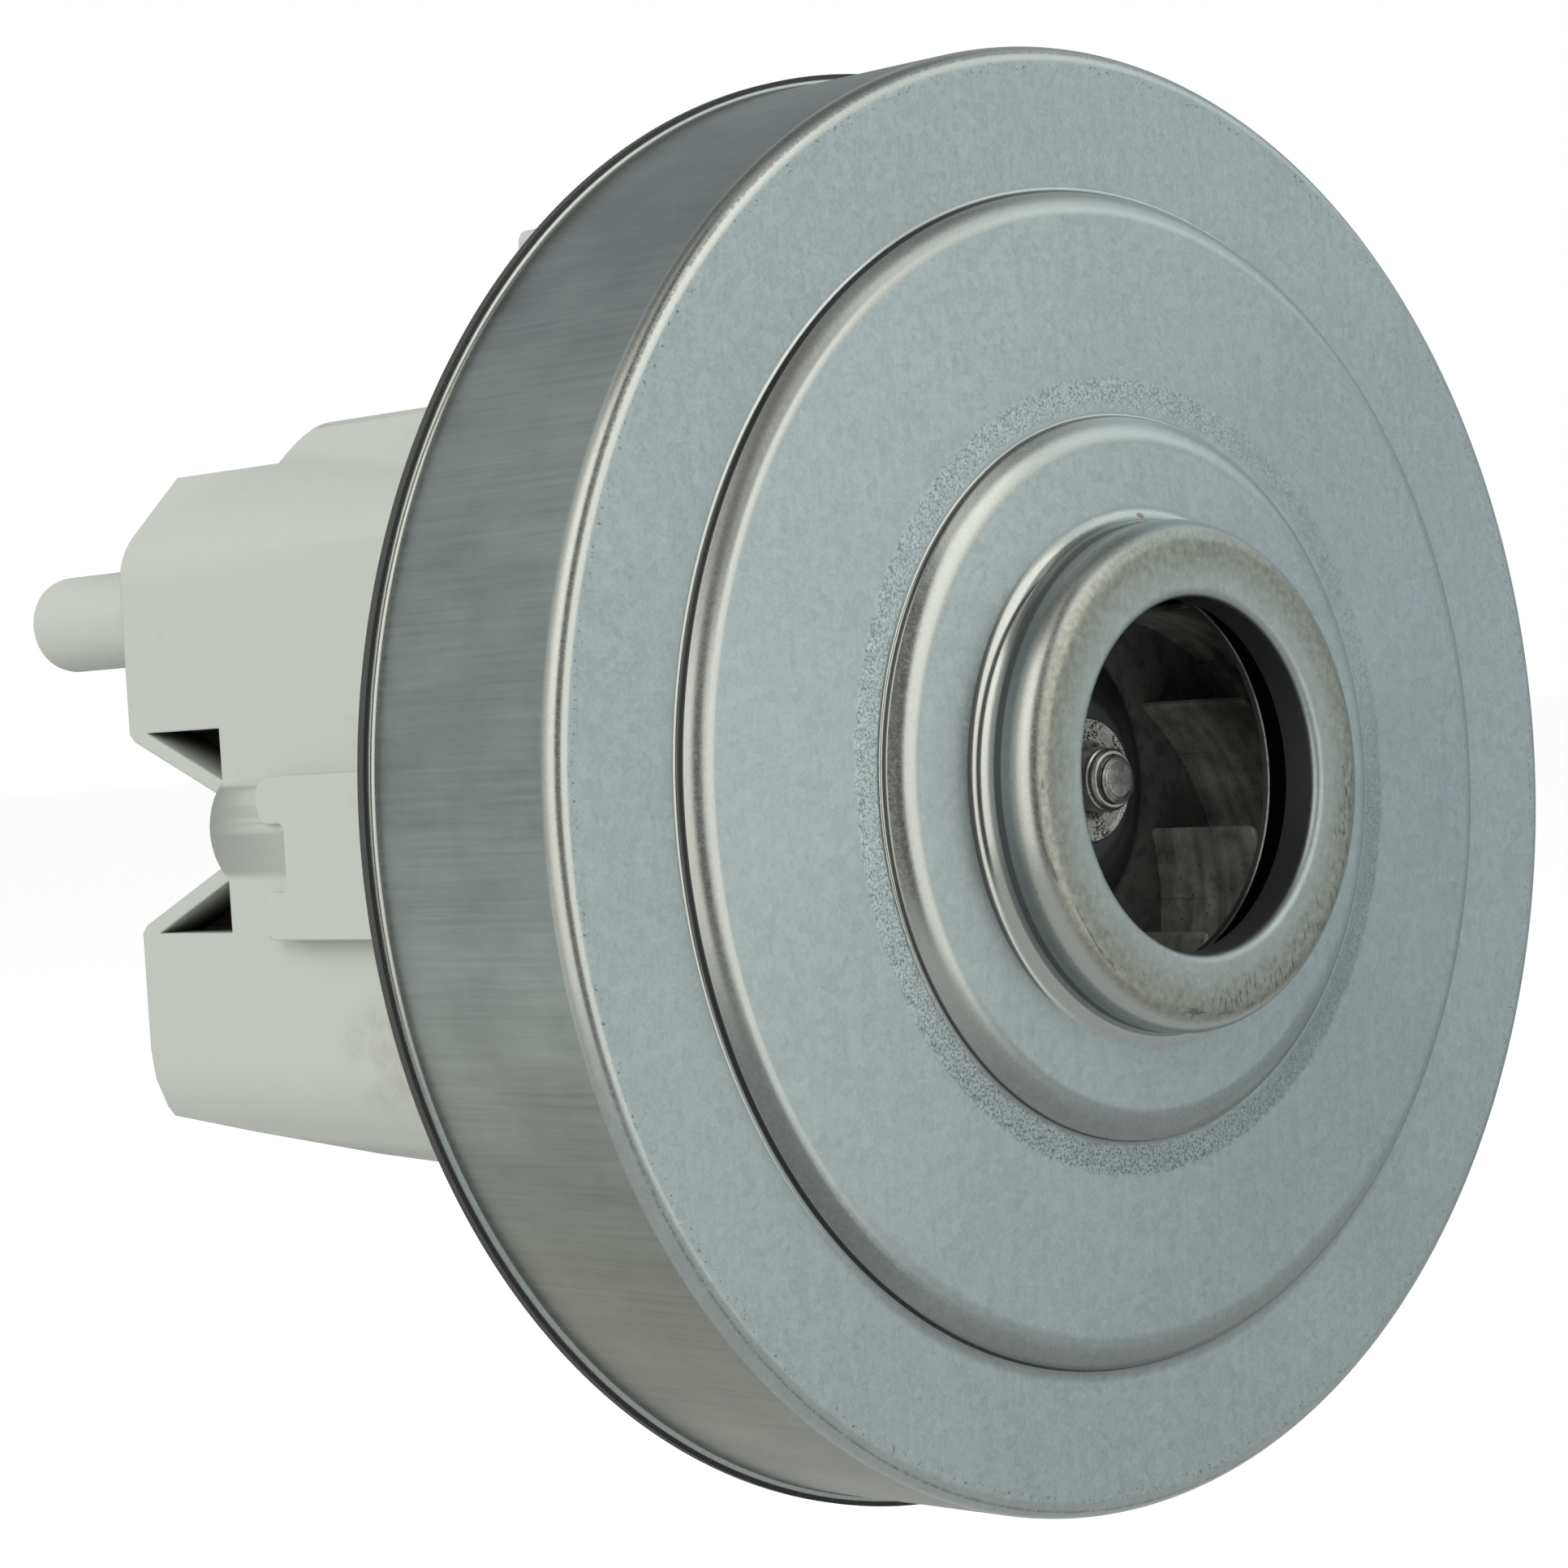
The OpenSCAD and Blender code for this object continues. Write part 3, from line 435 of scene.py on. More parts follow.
def round_path(points: Sequence[Sequence[float]], radii: Sequence[float], steps: int) -> np.ndarray:
    """Rounds the inner corners of an open path.

    Each corner becomes an arc that touches both legs, turned through the bend in equal steps.

    Args:
        points: Corners, in millimetres.
        radii: One radius per corner; the first and the last are not used.
        steps: Steps of each arc.

    Returns:
        The path's points.
    """
    path = np.asarray(points, float)
    parts = [path[:1]]
    for before, here, after, radius in zip(path[:-2], path[1:-1], path[2:], radii[1:-1]):
        if radius <= 0:
            parts.append(here[None])
            continue
        u = (before - here) / np.linalg.norm(before - here)
        v = (after - here) / np.linalg.norm(after - here)
        half = math.acos(float(np.clip(u @ v, -1, 1))) / 2
        bisector = (u + v) / np.linalg.norm(u + v)
        middle = here + bisector * radius / math.sin(half)
        start = here + u * radius / math.tan(half) - middle
        sense = np.sign(-u[0] * v[1] + u[1] * v[0])
        turn = np.linspace(0, (math.pi - 2 * half) * sense, steps + 1)
        across = start[0] * np.cos(turn) - start[1] * np.sin(turn)
        up = start[0] * np.sin(turn) + start[1] * np.cos(turn)
        parts.append(middle + np.stack([across, up], -1))
    parts.append(path[-1:])
    return np.concatenate(parts)


def move_path(points: Sequence[Sequence[float]], offset: float) -> np.ndarray:
    """Moves an open path to its left, mitred: each corner shifts along the sum of its legs' normals."""
    path = np.asarray(points, float)
    legs = np.diff(path, axis=0)
    legs /= np.linalg.norm(legs, axis=1)[:, None]
    normals = np.stack([-legs[:, 1], legs[:, 0]], -1)
    first = np.concatenate([normals[:1], normals])
    second = np.concatenate([normals, normals[-1:]])
    return path + offset * (first + second) / (1 + np.sum(first * second, 1))[:, None]


def sheet_section(points: Sequence, radii: Sequence[float], sheet: float, steps: int) -> np.ndarray:
    """The closed section of a bent sheet: a rounded path, and the same path moved by the sheet's thickness.

    A bend to the left gets tighter by the thickness on the moved side, a bend to the right wider.
    """
    path = np.asarray(points, float)
    legs = np.diff(path, axis=0)
    bend = np.sign(legs[:-1, 0] * legs[1:, 1] - legs[:-1, 1] * legs[1:, 0])
    inner = np.array(radii, float)
    inner[1:-1] = np.maximum(0.05, inner[1:-1] - sheet * bend)
    outer_line = round_path(path, radii, steps)
    inner_line = round_path(move_path(path, sheet), inner, steps)
    return np.concatenate([supported(outer_line), supported(inner_line)[::-1]])


def supported(line: np.ndarray, near: float = 0.12, longest: float = 4.0) -> np.ndarray:
    """Adds points close to the ends of long legs and along them, so that flats stay flat when shaded."""
    parts = []
    for start, end in zip(line[:-1], line[1:]):
        length = float(np.linalg.norm(end - start))
        shares = [0.0]
        if length > 4 * near:
            count = max(1, math.ceil(length / longest))
            inner = np.linspace(near / length, 1 - near / length, count + 1)
            shares.extend(inner.tolist())
        parts.append(start + np.outer(shares, end - start))
    parts.append(line[-1:])
    return np.concatenate(parts)


def placed_object(name: str, data: Any) -> Object:
    """Makes an object of a mesh, lamp or camera and links it to the scene."""
    made = bpy.data.objects.new(name, data)
    bpy.context.scene.collection.objects.link(made)
    return made


def shaded_object(name: str, mesh: bpy.types.Mesh, sharp: float) -> Object:
    """Shades a mesh smooth up to an angle in degrees and makes its object."""
    mesh.shade_smooth()
    mesh.set_sharp_from_angle(angle=math.radians(sharp))
    return placed_object(name, mesh)


def add_mesh(name: str, points: np.ndarray, faces: list) -> Object:
    """Makes an object from points in millimetres (x, depth, z) and faces, with outward normals.

    Args:
        name: The piece's name.
        points: One row per vertex of a closed shell.
        faces: Lists of vertex numbers.

    Returns:
        The object, shaded smooth up to 35 degrees.
    """
    mesh = bpy.data.meshes.new(name)
    placed = (points + np.array([0.0, BORE_MID, 0.0])) * MM
    mesh.from_pydata(placed.tolist(), [], faces)
    work = bmesh.new()
    work.from_mesh(mesh)
    bmesh.ops.recalc_face_normals(work, faces=work.faces)
    work.to_mesh(mesh)
    work.free()
    return shaded_object(name, mesh, 35.0)


def grid_faces(rows: int, columns: int, wrap_rows: bool, wrap_columns: bool) -> list:
    """Quads between neighbouring points of a grid, wrapped where it closes on itself."""
    row = np.arange(rows if wrap_rows else rows - 1)
    column = np.arange(columns if wrap_columns else columns - 1)
    i, j = np.meshgrid(row, column, indexing="ij")
    after_i, after_j = (i + 1) % rows, (j + 1) % columns
    here, beyond = i * columns, after_i * columns
    quads = np.stack([here + j, here + after_j, beyond + after_j, beyond + j], -1)
    return quads.reshape(-1, 4).tolist()


def lathe(name: str, section: np.ndarray, turns: int = 256) -> Object:
    """Carries a closed section of (radius, depth) round the shaft: x = r cos a, z = r sin a."""
    angle = np.linspace(0, 2 * math.pi, turns, endpoint=False)[:, None]
    radius, depth = section[None, :, 0], section[None, :, 1]
    points = np.stack([radius * np.cos(angle), depth + 0 * angle, radius * np.sin(angle)], -1)
    return add_mesh(name, points.reshape(-1, 3), grid_faces(turns, len(section), True, True))


def spindle(name: str, radius: np.ndarray, depth: np.ndarray, turns: int) -> Object:
    """A solid round the shaft with a radius for each station and angle, closed by a fan at both ends.

    Args:
        name: The piece's name.
        radius: Radii, one row per station and one column per angle.
        depth: Depth of each station.
        turns: Number of angles.

    Returns:
        The object.
    """
    angle = np.linspace(0, 2 * math.pi, turns, endpoint=False)[None]
    points = np.stack([radius * np.cos(angle), depth[:, None] + 0 * radius, radius * np.sin(angle)], -1)
    stations = len(depth)
    faces = grid_faces(stations, turns, False, True)
    faces.append(list(range(turns))[::-1])
    faces.append(list(range((stations - 1) * turns, stations * turns)))
    return add_mesh(name, points.reshape(-1, 3), faces)


def settle(piece: Object, body: Body, node: str, material: Material) -> None:
    """Puts a finished piece on its body in place of a CAD node, and gives it its material."""
    piece.data.materials.clear()
    piece.data.materials.append(material)
    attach(piece, body.value)
    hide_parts(node)
    log.info("%s stands for %s, %d faces", piece.name, node, len(piece.data.polygons))


def merged_copy(node: str, name: str, extra: tuple[np.ndarray, list]) -> Object:
    """A copy of a CAD node with its loose triangles joined into flat faces.

    Args:
        node: The CAD node.
        name: The piece's name.
        extra: Points in metres and faces that are added to the mesh.

    Returns:
        The object.
    """
    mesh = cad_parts[node].data.copy()
    work = bmesh.new()
    work.from_mesh(mesh)
    bmesh.ops.remove_doubles(work, verts=work.verts, dist=2e-6)
    bmesh.ops.dissolve_limit(work, angle_limit=math.radians(0.7), verts=work.verts, edges=work.edges)
    added = [work.verts.new(point) for point in extra[0].tolist()]
    for face in extra[1]:
        work.faces.new([added[i] for i in face])
    bmesh.ops.recalc_face_normals(work, faces=work.faces)
    work.to_mesh(mesh)
    work.free()
    made = shaded_object(name, mesh, 28.0)
    weighted = made.modifiers.new("level_faces", "WEIGHTED_NORMAL")
    weighted.keep_sharp = True
    weighted.mode = "FACE_AREA_WITH_ANGLE"
    return made


@dataclass(frozen=True)
class CoverSheet:
    """Galvanised sheet of the cover, with the marks that each of its zones carries, and painted highlight and
    shade on some zones.
    """

    front: Colour = (0.348, 0.392, 0.396)
    bend: Colour = (0.400, 0.412, 0.390)
    skirt: Colour = (0.270, 0.300, 0.292)
    low_skirt: Colour = (0.285, 0.290, 0.262)
    stain: Colour = (0.235, 0.240, 0.208)
    wall: Colour = (0.230, 0.250, 0.262)
    dark: Colour = (0.022, 0.023, 0.023)
    rust: Colour = (0.160, 0.070, 0.030)

    def bends(self, g: Surface) -> Signal:
        """The pressed corners, smoothed by the tool; the colour also gets a painted highlight on them."""
        outer = g.zone(51.3, 53.7, -2.2, -0.50)
        inner = g.zone(30.3, 33.0, -5.3, -3.6)
        neck = g.zone(20.8, 23.5, -11.6, -8.9)
        corner = g.zone(65.5, 67.3, -0.2, 1.5)
        rear = g.zone(66.9, 67.5, 22.8, 23.45, 0.05)
        return outer.maximum(inner).maximum(neck).maximum(corner).maximum(rear)

    def feet(self, g: Surface) -> Signal:
        """The tight hollows at the foot of each step, smooth as a mirror; the colour also gets a painted
        highlight on them.
        """
        outer = g.zone(53.5, 54.1, -0.5, 0.2, 0.06)
        inner = g.zone(32.7, 33.3, -3.6, -2.9, 0.06)
        neck = g.zone(22.8, 24.6, -7.0, -5.2, 0.1)
        return outer.maximum(inner).maximum(neck)

    def side(self, g: Surface, fine: Signal, streak: Signal) -> Socket:
        """The skirt's slate tone with soft and fine streaks along the shaft, browner below, and darker along
        its top as painted shade.
        """
        arc = g.angle * 67.0
        broad = g.noise(1.0, 3.0, 0.6, g.vector(arc * 0.16, g.y * 0.05, 3.0))
        scratch = g.noise(1.0, 2.0, 0.5, g.vector(arc * 5.0, g.y * 0.09, 9.0)).step(0.70, 0.78)
        patch = g.noise(0.05, 2.0).step(0.48, 0.62)
        blotch = g.noise(0.12, 3.0, 0.6)
        tone = 1.0 + streak.swing(0.55) + broad.swing(0.45) + blotch.swing(0.40) + fine.swing(0.20)
        # Painted shade: the top of the skirt is darker.
        tone = tone - g.z.step(34.0, 56.0) * 0.16
        plain = g.blend(self.skirt, self.low_skirt, g.z.step(0.0, -45.0))
        return g.blend(g.toned(plain, tone), self.dark, scratch * patch * 0.35)

    def neck_face(self, g: Surface, colour: Any) -> Socket:
        """The neck: a leathery brown-green outer part of its face, clean inside, blue-grey down its wall."""
        face = g.depth.step(-10.7, -11.25)
        cloud = g.noise(0.25, 4.0, 0.6)
        leather = g.noise(1.4, 4.0, 0.7)
        outer = (g.radius + cloud.swing(3.0)).step(16.8, 20.6)
        tanned = g.toned(self.stain, 0.27 + leather * 1.5)
        colour = g.blend(colour, tanned, face * (0.30 + outer * 0.65))
        brushed = g.noise(1.0, 3.0, 0.65, g.vector(g.x * 2.6, g.y, g.z * 0.7))
        specks = brushed.step(0.56, 0.66) * (g.x - g.z).step(10.0, 24.0) * g.radius.step(18.0, 20.0)
        scores = g.noise(1.0, 3.0, 0.6, g.vector(g.radius * 1.2, g.angle * 3.0, 0.0)).step(0.60, 0.68)
        scores = scores * g.radius.step(19.6, 21.0) * (g.x + g.z).step(-14.0, -24.0)
        colour = g.blend(colour, self.dark, face * specks.maximum(scores) * 0.6)
        wall = g.radius.band(22.9, 23.6, 0.1) * g.depth.band(-9.2, -6.6, 0.5)
        colour = g.blend(colour, g.toned(self.wall, 0.6 + leather * 0.8), wall * 0.5)
        spot = (g.x.squared() + (g.z - 23.7).squared() * 3.0).step(0.35, 0.10)
        return g.blend(colour, self.rust, spot * 0.7)

    def grime_and_shade(self, g: Surface) -> Signal:
        """Painted shade and dirt: dark lines in the hollows at the step feet and a dark band down the neck
        wall, all painted shade and heavier on the left; the outer slope darker all round and most on its
        upper-left and lower-left diagonals; the steps darker towards the bottom; scuffs and pits along the
        front corner.
        """
        spread = g.noise(2.5, 3.0, 0.7)
        left = g.x.step(20.0, -20.0)
        diagonal = abs(g.z).band(16.0, 44.0, 8.0) * left
        # Painted shade: a dark line in the hollow at the foot of the outer step, heavier on the left.
        step_foot_shade = g.zone(53.30, 53.78, -0.66, -0.12, 0.05) * (0.4 + left * 0.6)
        slope = g.zone(52.0, 53.6, -2.0, -0.6, 0.2) * (0.10 + diagonal * (0.25 + spread * 0.35))
        low = g.zone(50.6, 54.6, -2.2, 0.2, 0.4) * g.z.step(-30.0, -48.0) * (0.25 + spread * 0.3)
        scuff = g.zone(66.0, 66.35, 0.2, 0.7, 0.08) * spread.step(0.36, 0.56) * 0.5
        pits = g.zone(64.6, 65.5, -0.3, 0.3, 0.3) * g.noise(2.2, 2.0, 0.6).step(0.60, 0.66) * 0.6
        # Painted shade: a dark line in the hollow at the foot of the inner step.
        inner_foot_shade = g.zone(32.75, 33.0, -3.65, -3.25, 0.06) * 0.85
        low_inner = g.zone(30.0, 33.2, -5.2, -2.8, 0.3) * g.z.step(-13.0, -27.0)
        low_inner = low_inner * (0.22 + spread * 0.36)
        # Painted shade: a dark band on the neck wall towards its foot, heavier on the left.
        neck = g.zone(22.8, 23.3, -7.9, -7.0, 0.12) * (0.35 + left * 0.45)
        dirt_and_shade = step_foot_shade
        for patch in (slope, low, scuff, pits, inner_foot_shade, low_inner, neck):
            dirt_and_shade = dirt_and_shade.maximum(patch)
        return dirt_and_shade

    def material(self, name: str) -> Material:
        """Grain, smooth bends with a painted highlight, a worn ring, a stained neck, a streaked skirt and a
        black flange, with painted shade in the hollows, inside the bore and along the skirt's top.
        """
        g = Surface(name)
        on_skirt = g.radius.step(66.0, 66.9) * g.depth.step(0.6, 1.8)
        fine = g.noise(2.4, 3.0, 0.65)
        cloud = g.noise(0.05, 3.0)
        upright = g.noise(1.0, 3.0, 0.6, g.vector(g.x * 1.6, g.y * 0.5, g.z * 0.07))
        spangle = g.cell_tone(1.1)
        pitting = g.noise(3.4, 2.0, 0.6).step(0.66, 0.74)
        mottle = spangle.swing(0.10) + fine.swing(0.42) + cloud.swing(0.14) + upright.swing(0.14)
        mottle = mottle - pitting * 0.10
        bends = self.bends(g)
        feet = self.feet(g)
        grain = g.noise(4.5, 3.0, 0.7)
        # Painted highlight: the bends and the hollows at the step feet take a lighter colour, strongest on
        # the left and upper side.
        polish_highlight = g.toned(self.bend, 1.0 + grain.swing(0.35))
        highlight_side = 0.20 + g.x.step(24.0, -14.0) * g.z.step(-34.0, -6.0) * 0.80
        colour = g.blend(g.toned(self.front, 1.0 + mottle), polish_highlight, bends.maximum(feet) * highlight_side)

        streak = g.noise(1.0, 4.0, 0.62, g.vector(g.angle * 147.0, g.y * 0.05, 0.0))
        colour = g.blend(colour, self.side(g, fine, streak), on_skirt * (1.0 - bends))

        off_centre = ((g.x - 0.3).squared() + (g.z - 0.2).squared()) ** 0.5
        edge = off_centre + g.noise(1.2, 2.0).swing(0.6)
        speckle = g.noise(3.8, 3.0, 0.7).step(0.34, 0.60)
        ring = edge.band(33.5, 36.2, 0.3) * g.depth.band(-3.4, -2.0, 0.2)
        below = (g.x * 0.25 - g.z).step(-6.0, 26.0)
        contrast = 0.72 - g.x.step(0.0, 30.0) * 0.45
        colour = g.toned(colour, 1.0 - ring * (0.09 + below * 0.20) + ring * (speckle - 0.5) * contrast)
        colour = self.neck_face(g, colour)

        # Painted shade: the bore's wall behind the lip's inner rounding is painted dark.
        lip = g.radius.step(16.95, 16.3) * g.depth.step(-11.2, -10.4)
        colour = g.blend(colour, (0.13, 0.132, 0.13), lip * 0.85)
        grime_and_shade = self.grime_and_shade(g)
        flange = g.radius.step(67.42, 67.52) * g.depth.step(22.9, 23.1)
        cut_edge = g.radius.step(67.86, 67.94)
        specks = g.noise(7.0, 2.0, 0.6).step(0.66, 0.72)
        # Painted shade in the hollows and on the left, dirt, scuffs and pits darken the colour here, and the
        # flange is black.
        colour = g.blend(colour, self.dark, grime_and_shade.maximum(flange * (0.96 - specks * 0.6)))
        colour = g.blend(colour, (0.13, 0.13, 0.12), cut_edge * (0.3 + specks * 0.7))

        worn = ring * speckle
        rough = 0.38 + fine.swing(0.24) + upright.swing(0.08) - worn * 0.10
        rough = rough + (streak - 0.5) * on_skirt * 0.16
        rough = rough - bends * (0.14 - grain.swing(0.26)) - lip * 0.1 + g.radius.step(24.0, 22.0) * 0.05
        rough = rough - feet * (rough - 0.12)
        rough = rough + (flange + grime_and_shade * 0.6) * 0.3
        metal = 0.88 - grime_and_shade * 0.6 - flange * 0.75
        pressed = fine * 0.6 + upright * 0.3 + grain * bends * 0.35
        height = pressed * (1.0 - feet) * (1.0 - lip) + streak * on_skirt * 0.4 + worn * 0.6
        return g.finish(colour, rough, metal, height, 0.008)


@dataclass
class FanCover:
    """The pressed steel cover: neck, two steps, skirt and rear flange, one sheet turned about the shaft."""

    skirt_r: float = 67.0
    skirt_len: float = 24.1
    sheet: float = 0.8
    outer_step_r: float = 53.9
    outer_step_h: float = 1.95
    step_slope: float = 60.0
    inner_step_r: float = 32.7
    inner_foot_h: float = 3.0
    inner_top_h: float = 5.0
    neck_r: float = 23.2
    neck_h: float = 11.4
    neck_foot_h: float = 5.55
    bore_r: float = 16.0
    lip_len: float = 3.75
    flange_w: float = 0.95
    foot_r: float = 22.95
    step_slope_end: float = 53.6
    radii: tuple[float, ...] = (0, 0.9, 2.4, 1.45, 3.0, 0.4, 0.25, 2.8, 0.10, 0.46, 1.6, 0.5, 0)

    def section(self) -> np.ndarray:
        """The closed section from the bore's lip over the steps to the rear flange."""
        back = self.skirt_len - self.sheet
        shelf = self.outer_step_r - self.outer_step_h / math.tan(math.radians(self.step_slope))
        path = [
            (self.bore_r, -(self.neck_h - self.lip_len)),
            (self.bore_r, -self.neck_h),
            (self.neck_r, -self.neck_h),
            (self.foot_r, -self.neck_foot_h),
            (self.inner_step_r - 1.25, -self.inner_top_h + 0.13),
            (self.inner_step_r + 0.16, -self.inner_top_h + 1.36),
            (self.inner_step_r + 0.22, -self.inner_foot_h - 0.1),
            (shelf, -self.outer_step_h),
            (self.step_slope_end, -0.51),
            (self.step_slope_end + 0.08, 0.0),
            (self.skirt_r, 0.0),
            (self.skirt_r, back),
            (self.skirt_r + self.flange_w, back),
        ]
        return sheet_section(path, self.radii, self.sheet, 10)

    def build(self) -> None:
        """Turns the section and dresses it."""
        cover = lathe("cover_pressing", self.section(), 384)
        sheet = CoverSheet().material("galvanised_sheet")
        settle(cover, Body.FRAME, "fan_cover", sheet)


@dataclass(frozen=True)
class ImpellerSheet:
    """Pressed impeller sheet: dull aluminium with dust that thins towards the hub."""

    bare: Colour = (0.070, 0.076, 0.084)
    dusty: Colour = (0.17, 0.17, 0.155)
    black: Colour = (0.006, 0.006, 0.006)
    hub_r: float = 15.0
    shadow_and_score: float = 0.0
    bubbles: float = 0.0

    def material(self, name: str) -> Material:
        """Bare and bluish inside the hub's radius; outside dusty and stained, with painted shadow making it
        darker towards the shroud.
        """
        g = Surface(name)
        cloud = g.noise(0.35, 4.0, 0.6)
        fine = g.noise(2.2, 4.0, 0.7)
        bands = g.noise(1.0, 2.0, 0.5, g.vector(g.depth * 0.7, g.radius * 0.06, 3.0))
        outside = g.radius.step(self.hub_r - 0.3, self.hub_r + 0.3)
        dust = (outside * (0.10 + cloud * 1.2) + fine.swing(0.5) + bands.swing(1.1)).clamped()
        spots = g.cell_tone(0.75).step(0.35, 0.75) * g.noise(0.5, 2.0).step(0.40, 0.58)
        spots = spots * self.bubbles * outside
        specks = g.noise(1.3, 3.0, 0.65).step(0.62, 0.72)
        colour = g.blend(self.bare, self.dusty, dust * (1.0 - spots * 0.7))
        colour = g.blend(colour, self.black, specks * 0.6)
        # Painted shadow: darker towards the shroud, more on the upper side; the same factor turns on a dark
        # score line.
        hidden = g.depth.step(8.0, -2.5) * self.shadow_and_score * (0.55 + g.z.step(-6.0, 6.0) * 0.45)
        score = (g.radius + cloud.swing(0.3)).band(20.9, 20.95, 0.05) * self.shadow_and_score
        colour = g.blend(colour, self.black, hidden.maximum(score * 0.6))
        return g.finish(colour, 0.42 + dust * 0.3, 0.75 - dust * 0.45, fine, 0.02)


@dataclass(frozen=True)
class ShroudSheet:
    """The shroud's sheet, nearly black with a bright arris round its eye."""

    face: Colour = (0.020, 0.020, 0.020)
    arris: Colour = (0.22, 0.22, 0.21)
    eye_r: float = 17.6

    def material(self, name: str) -> Material:
        """A thin bright line at the eye's front edge on a dark, slightly cloudy face."""
        g = Surface(name)
        fine = g.noise(2.2, 3.0, 0.7)
        wear = g.noise(0.4, 3.0, 0.6).step(0.30, 0.60)
        line = g.radius.step(self.eye_r + 0.24, self.eye_r + 0.12) * g.depth.step(-4.20, -4.30)
        colour = g.blend(g.toned(self.face, 0.6 + fine * 0.8), self.arris, line * (0.35 + wear * 0.6))
        return g.finish(colour, 0.5 - line * 0.15, 0.5 + line * 0.4, fine, 0.02)


@dataclass
class Impeller:
    """The fan wheel: a dished back plate, nine curved vanes and a shroud with its eye at the inlet."""

    rim_r: float = 58.0
    eye_r: float = 17.6
    plate_flat: float = 9.4
    plate_hub: float = 4.5
    hub_flat_r: float = 8.5
    hub_foot_r: float = 15.0
    seat_r: float = 3.05
    sheet: float = 1.0
    shroud_sheet: float = 0.6
    rim_gap: float = 5.3
    vanes: int = 9
    vane_start: float = 22.0
    vane_sweep: float = 105.0
    vane_sheet: float = 0.8

    def shroud_path(self) -> np.ndarray:
        """The shroud's front line from the eye to the rim."""
        rim_depth = self.plate_flat - self.rim_gap - self.shroud_sheet
        return np.array([[self.eye_r, -4.4], [20.0, -3.0], [32.7, 0.0], [self.rim_r, rim_depth]])

    def vane_front(self, radius: np.ndarray) -> np.ndarray:
        """Depth of a vane's front edge: the shroud's underside, rounded at the eye by a quarter circle."""
        under = move_path(self.shroud_path(), self.shroud_sheet)
        flat = np.interp(radius, under[:, 0], under[:, 1])
        nose, eye = 1.3, self.eye_r - 0.1
        reach = np.clip(eye + nose - radius, 0, nose)
        return flat + nose - np.sqrt(nose**2 - reach**2) + 0.05

    def vane_points(self, start: float) -> np.ndarray:
        """One vane as loops across its width, carried along a logarithmic spiral.

        The spiral's angle falls with the logarithm of the radius. At each radius a loop runs up one face
        from plate to shroud and down the other, half the sheet's thickness off the spiral along its
        in-plane normal, with half a circle over the free edge.
        """
        first = self.eye_r - 0.1
        entry = [first, first + 0.08, first + 0.25]
        radius = np.concatenate([entry, first + np.geomspace(0.5, self.rim_r - first, 60)])
        thick = np.full(len(radius), self.vane_sheet / 2)
        thick[:3] = self.vane_sheet / 2 * np.array([0.35, 0.8, 1.0])
        angle = np.radians(start - self.vane_sweep * np.log(radius / first) / math.log(self.rim_r / first))
        line = np.stack([radius * np.cos(angle), radius * np.sin(angle)], -1)
        along = np.gradient(line, axis=0)
        along /= np.linalg.norm(along, axis=1)[:, None]
        normal = np.stack([-along[:, 1], along[:, 0]], -1)
        front = self.vane_front(radius)
        rise = np.linspace(0, 1, 14)
        turn = np.linspace(-math.pi / 2, math.pi / 2, 7)[1:-1]
        share = np.concatenate([rise, np.ones(len(turn)), rise[::-1]])
        lift = np.concatenate([0 * rise, np.cos(turn), 0 * rise])
        side = np.concatenate([0 * rise - 1, np.sin(turn), 0 * rise + 1])
        crown = front + thick
        depth = self.plate_flat + share * (crown - self.plate_flat)[:, None] - lift * thick[:, None]
        flat = line[:, None] + normal[:, None] * (side * thick[:, None])[:, :, None]
        return np.stack([flat[..., 0], depth, flat[..., 1]], -1)

    def build(self) -> None:
        """Builds the plate, shroud and vanes and dresses them."""
        line = [(self.seat_r, self.plate_hub), (self.hub_flat_r, self.plate_hub),
                (self.hub_foot_r, self.plate_flat), (self.rim_r, self.plate_flat)]
        plate = lathe("impeller_plate", sheet_section(line, [0, 2.0, 2.2, 0], self.sheet, 6), 160)
        sheet = ImpellerSheet(bubbles=1.0).material("impeller_sheet")
        settle(plate, Body.ROTOR, "impeller_back_plate", sheet)
        shroud = sheet_section(self.shroud_path(), [0, 0.6, 4.0, 0], self.shroud_sheet, 5)
        shade = ShroudSheet().material("shroud_sheet")
        settle(lathe("impeller_front", shroud, 160), Body.ROTOR, "impeller_shroud", shade)
        loops = [self.vane_points(self.vane_start + i * 360 / self.vanes) for i in range(self.vanes)]
        rows, columns = loops[0].shape[:2]
        faces = []
        for base in range(0, self.vanes * rows * columns, rows * columns):
            faces.extend((np.array(grid_faces(rows, columns, False, True)) + base).tolist())
            faces.append([base + i for i in range(columns)])
            faces.append([base + (rows - 1) * columns + i for i in range(columns)][::-1])
        vanes = add_mesh("impeller_blades", np.concatenate([p.reshape(-1, 3) for p in loops]), faces)
        dusty = ImpellerSheet(dusty=(0.64, 0.64, 0.58), hub_r=12.0, shadow_and_score=0.92).material("vane_sheet")
        settle(vanes, Body.ROTOR, "impeller_vanes", dusty)


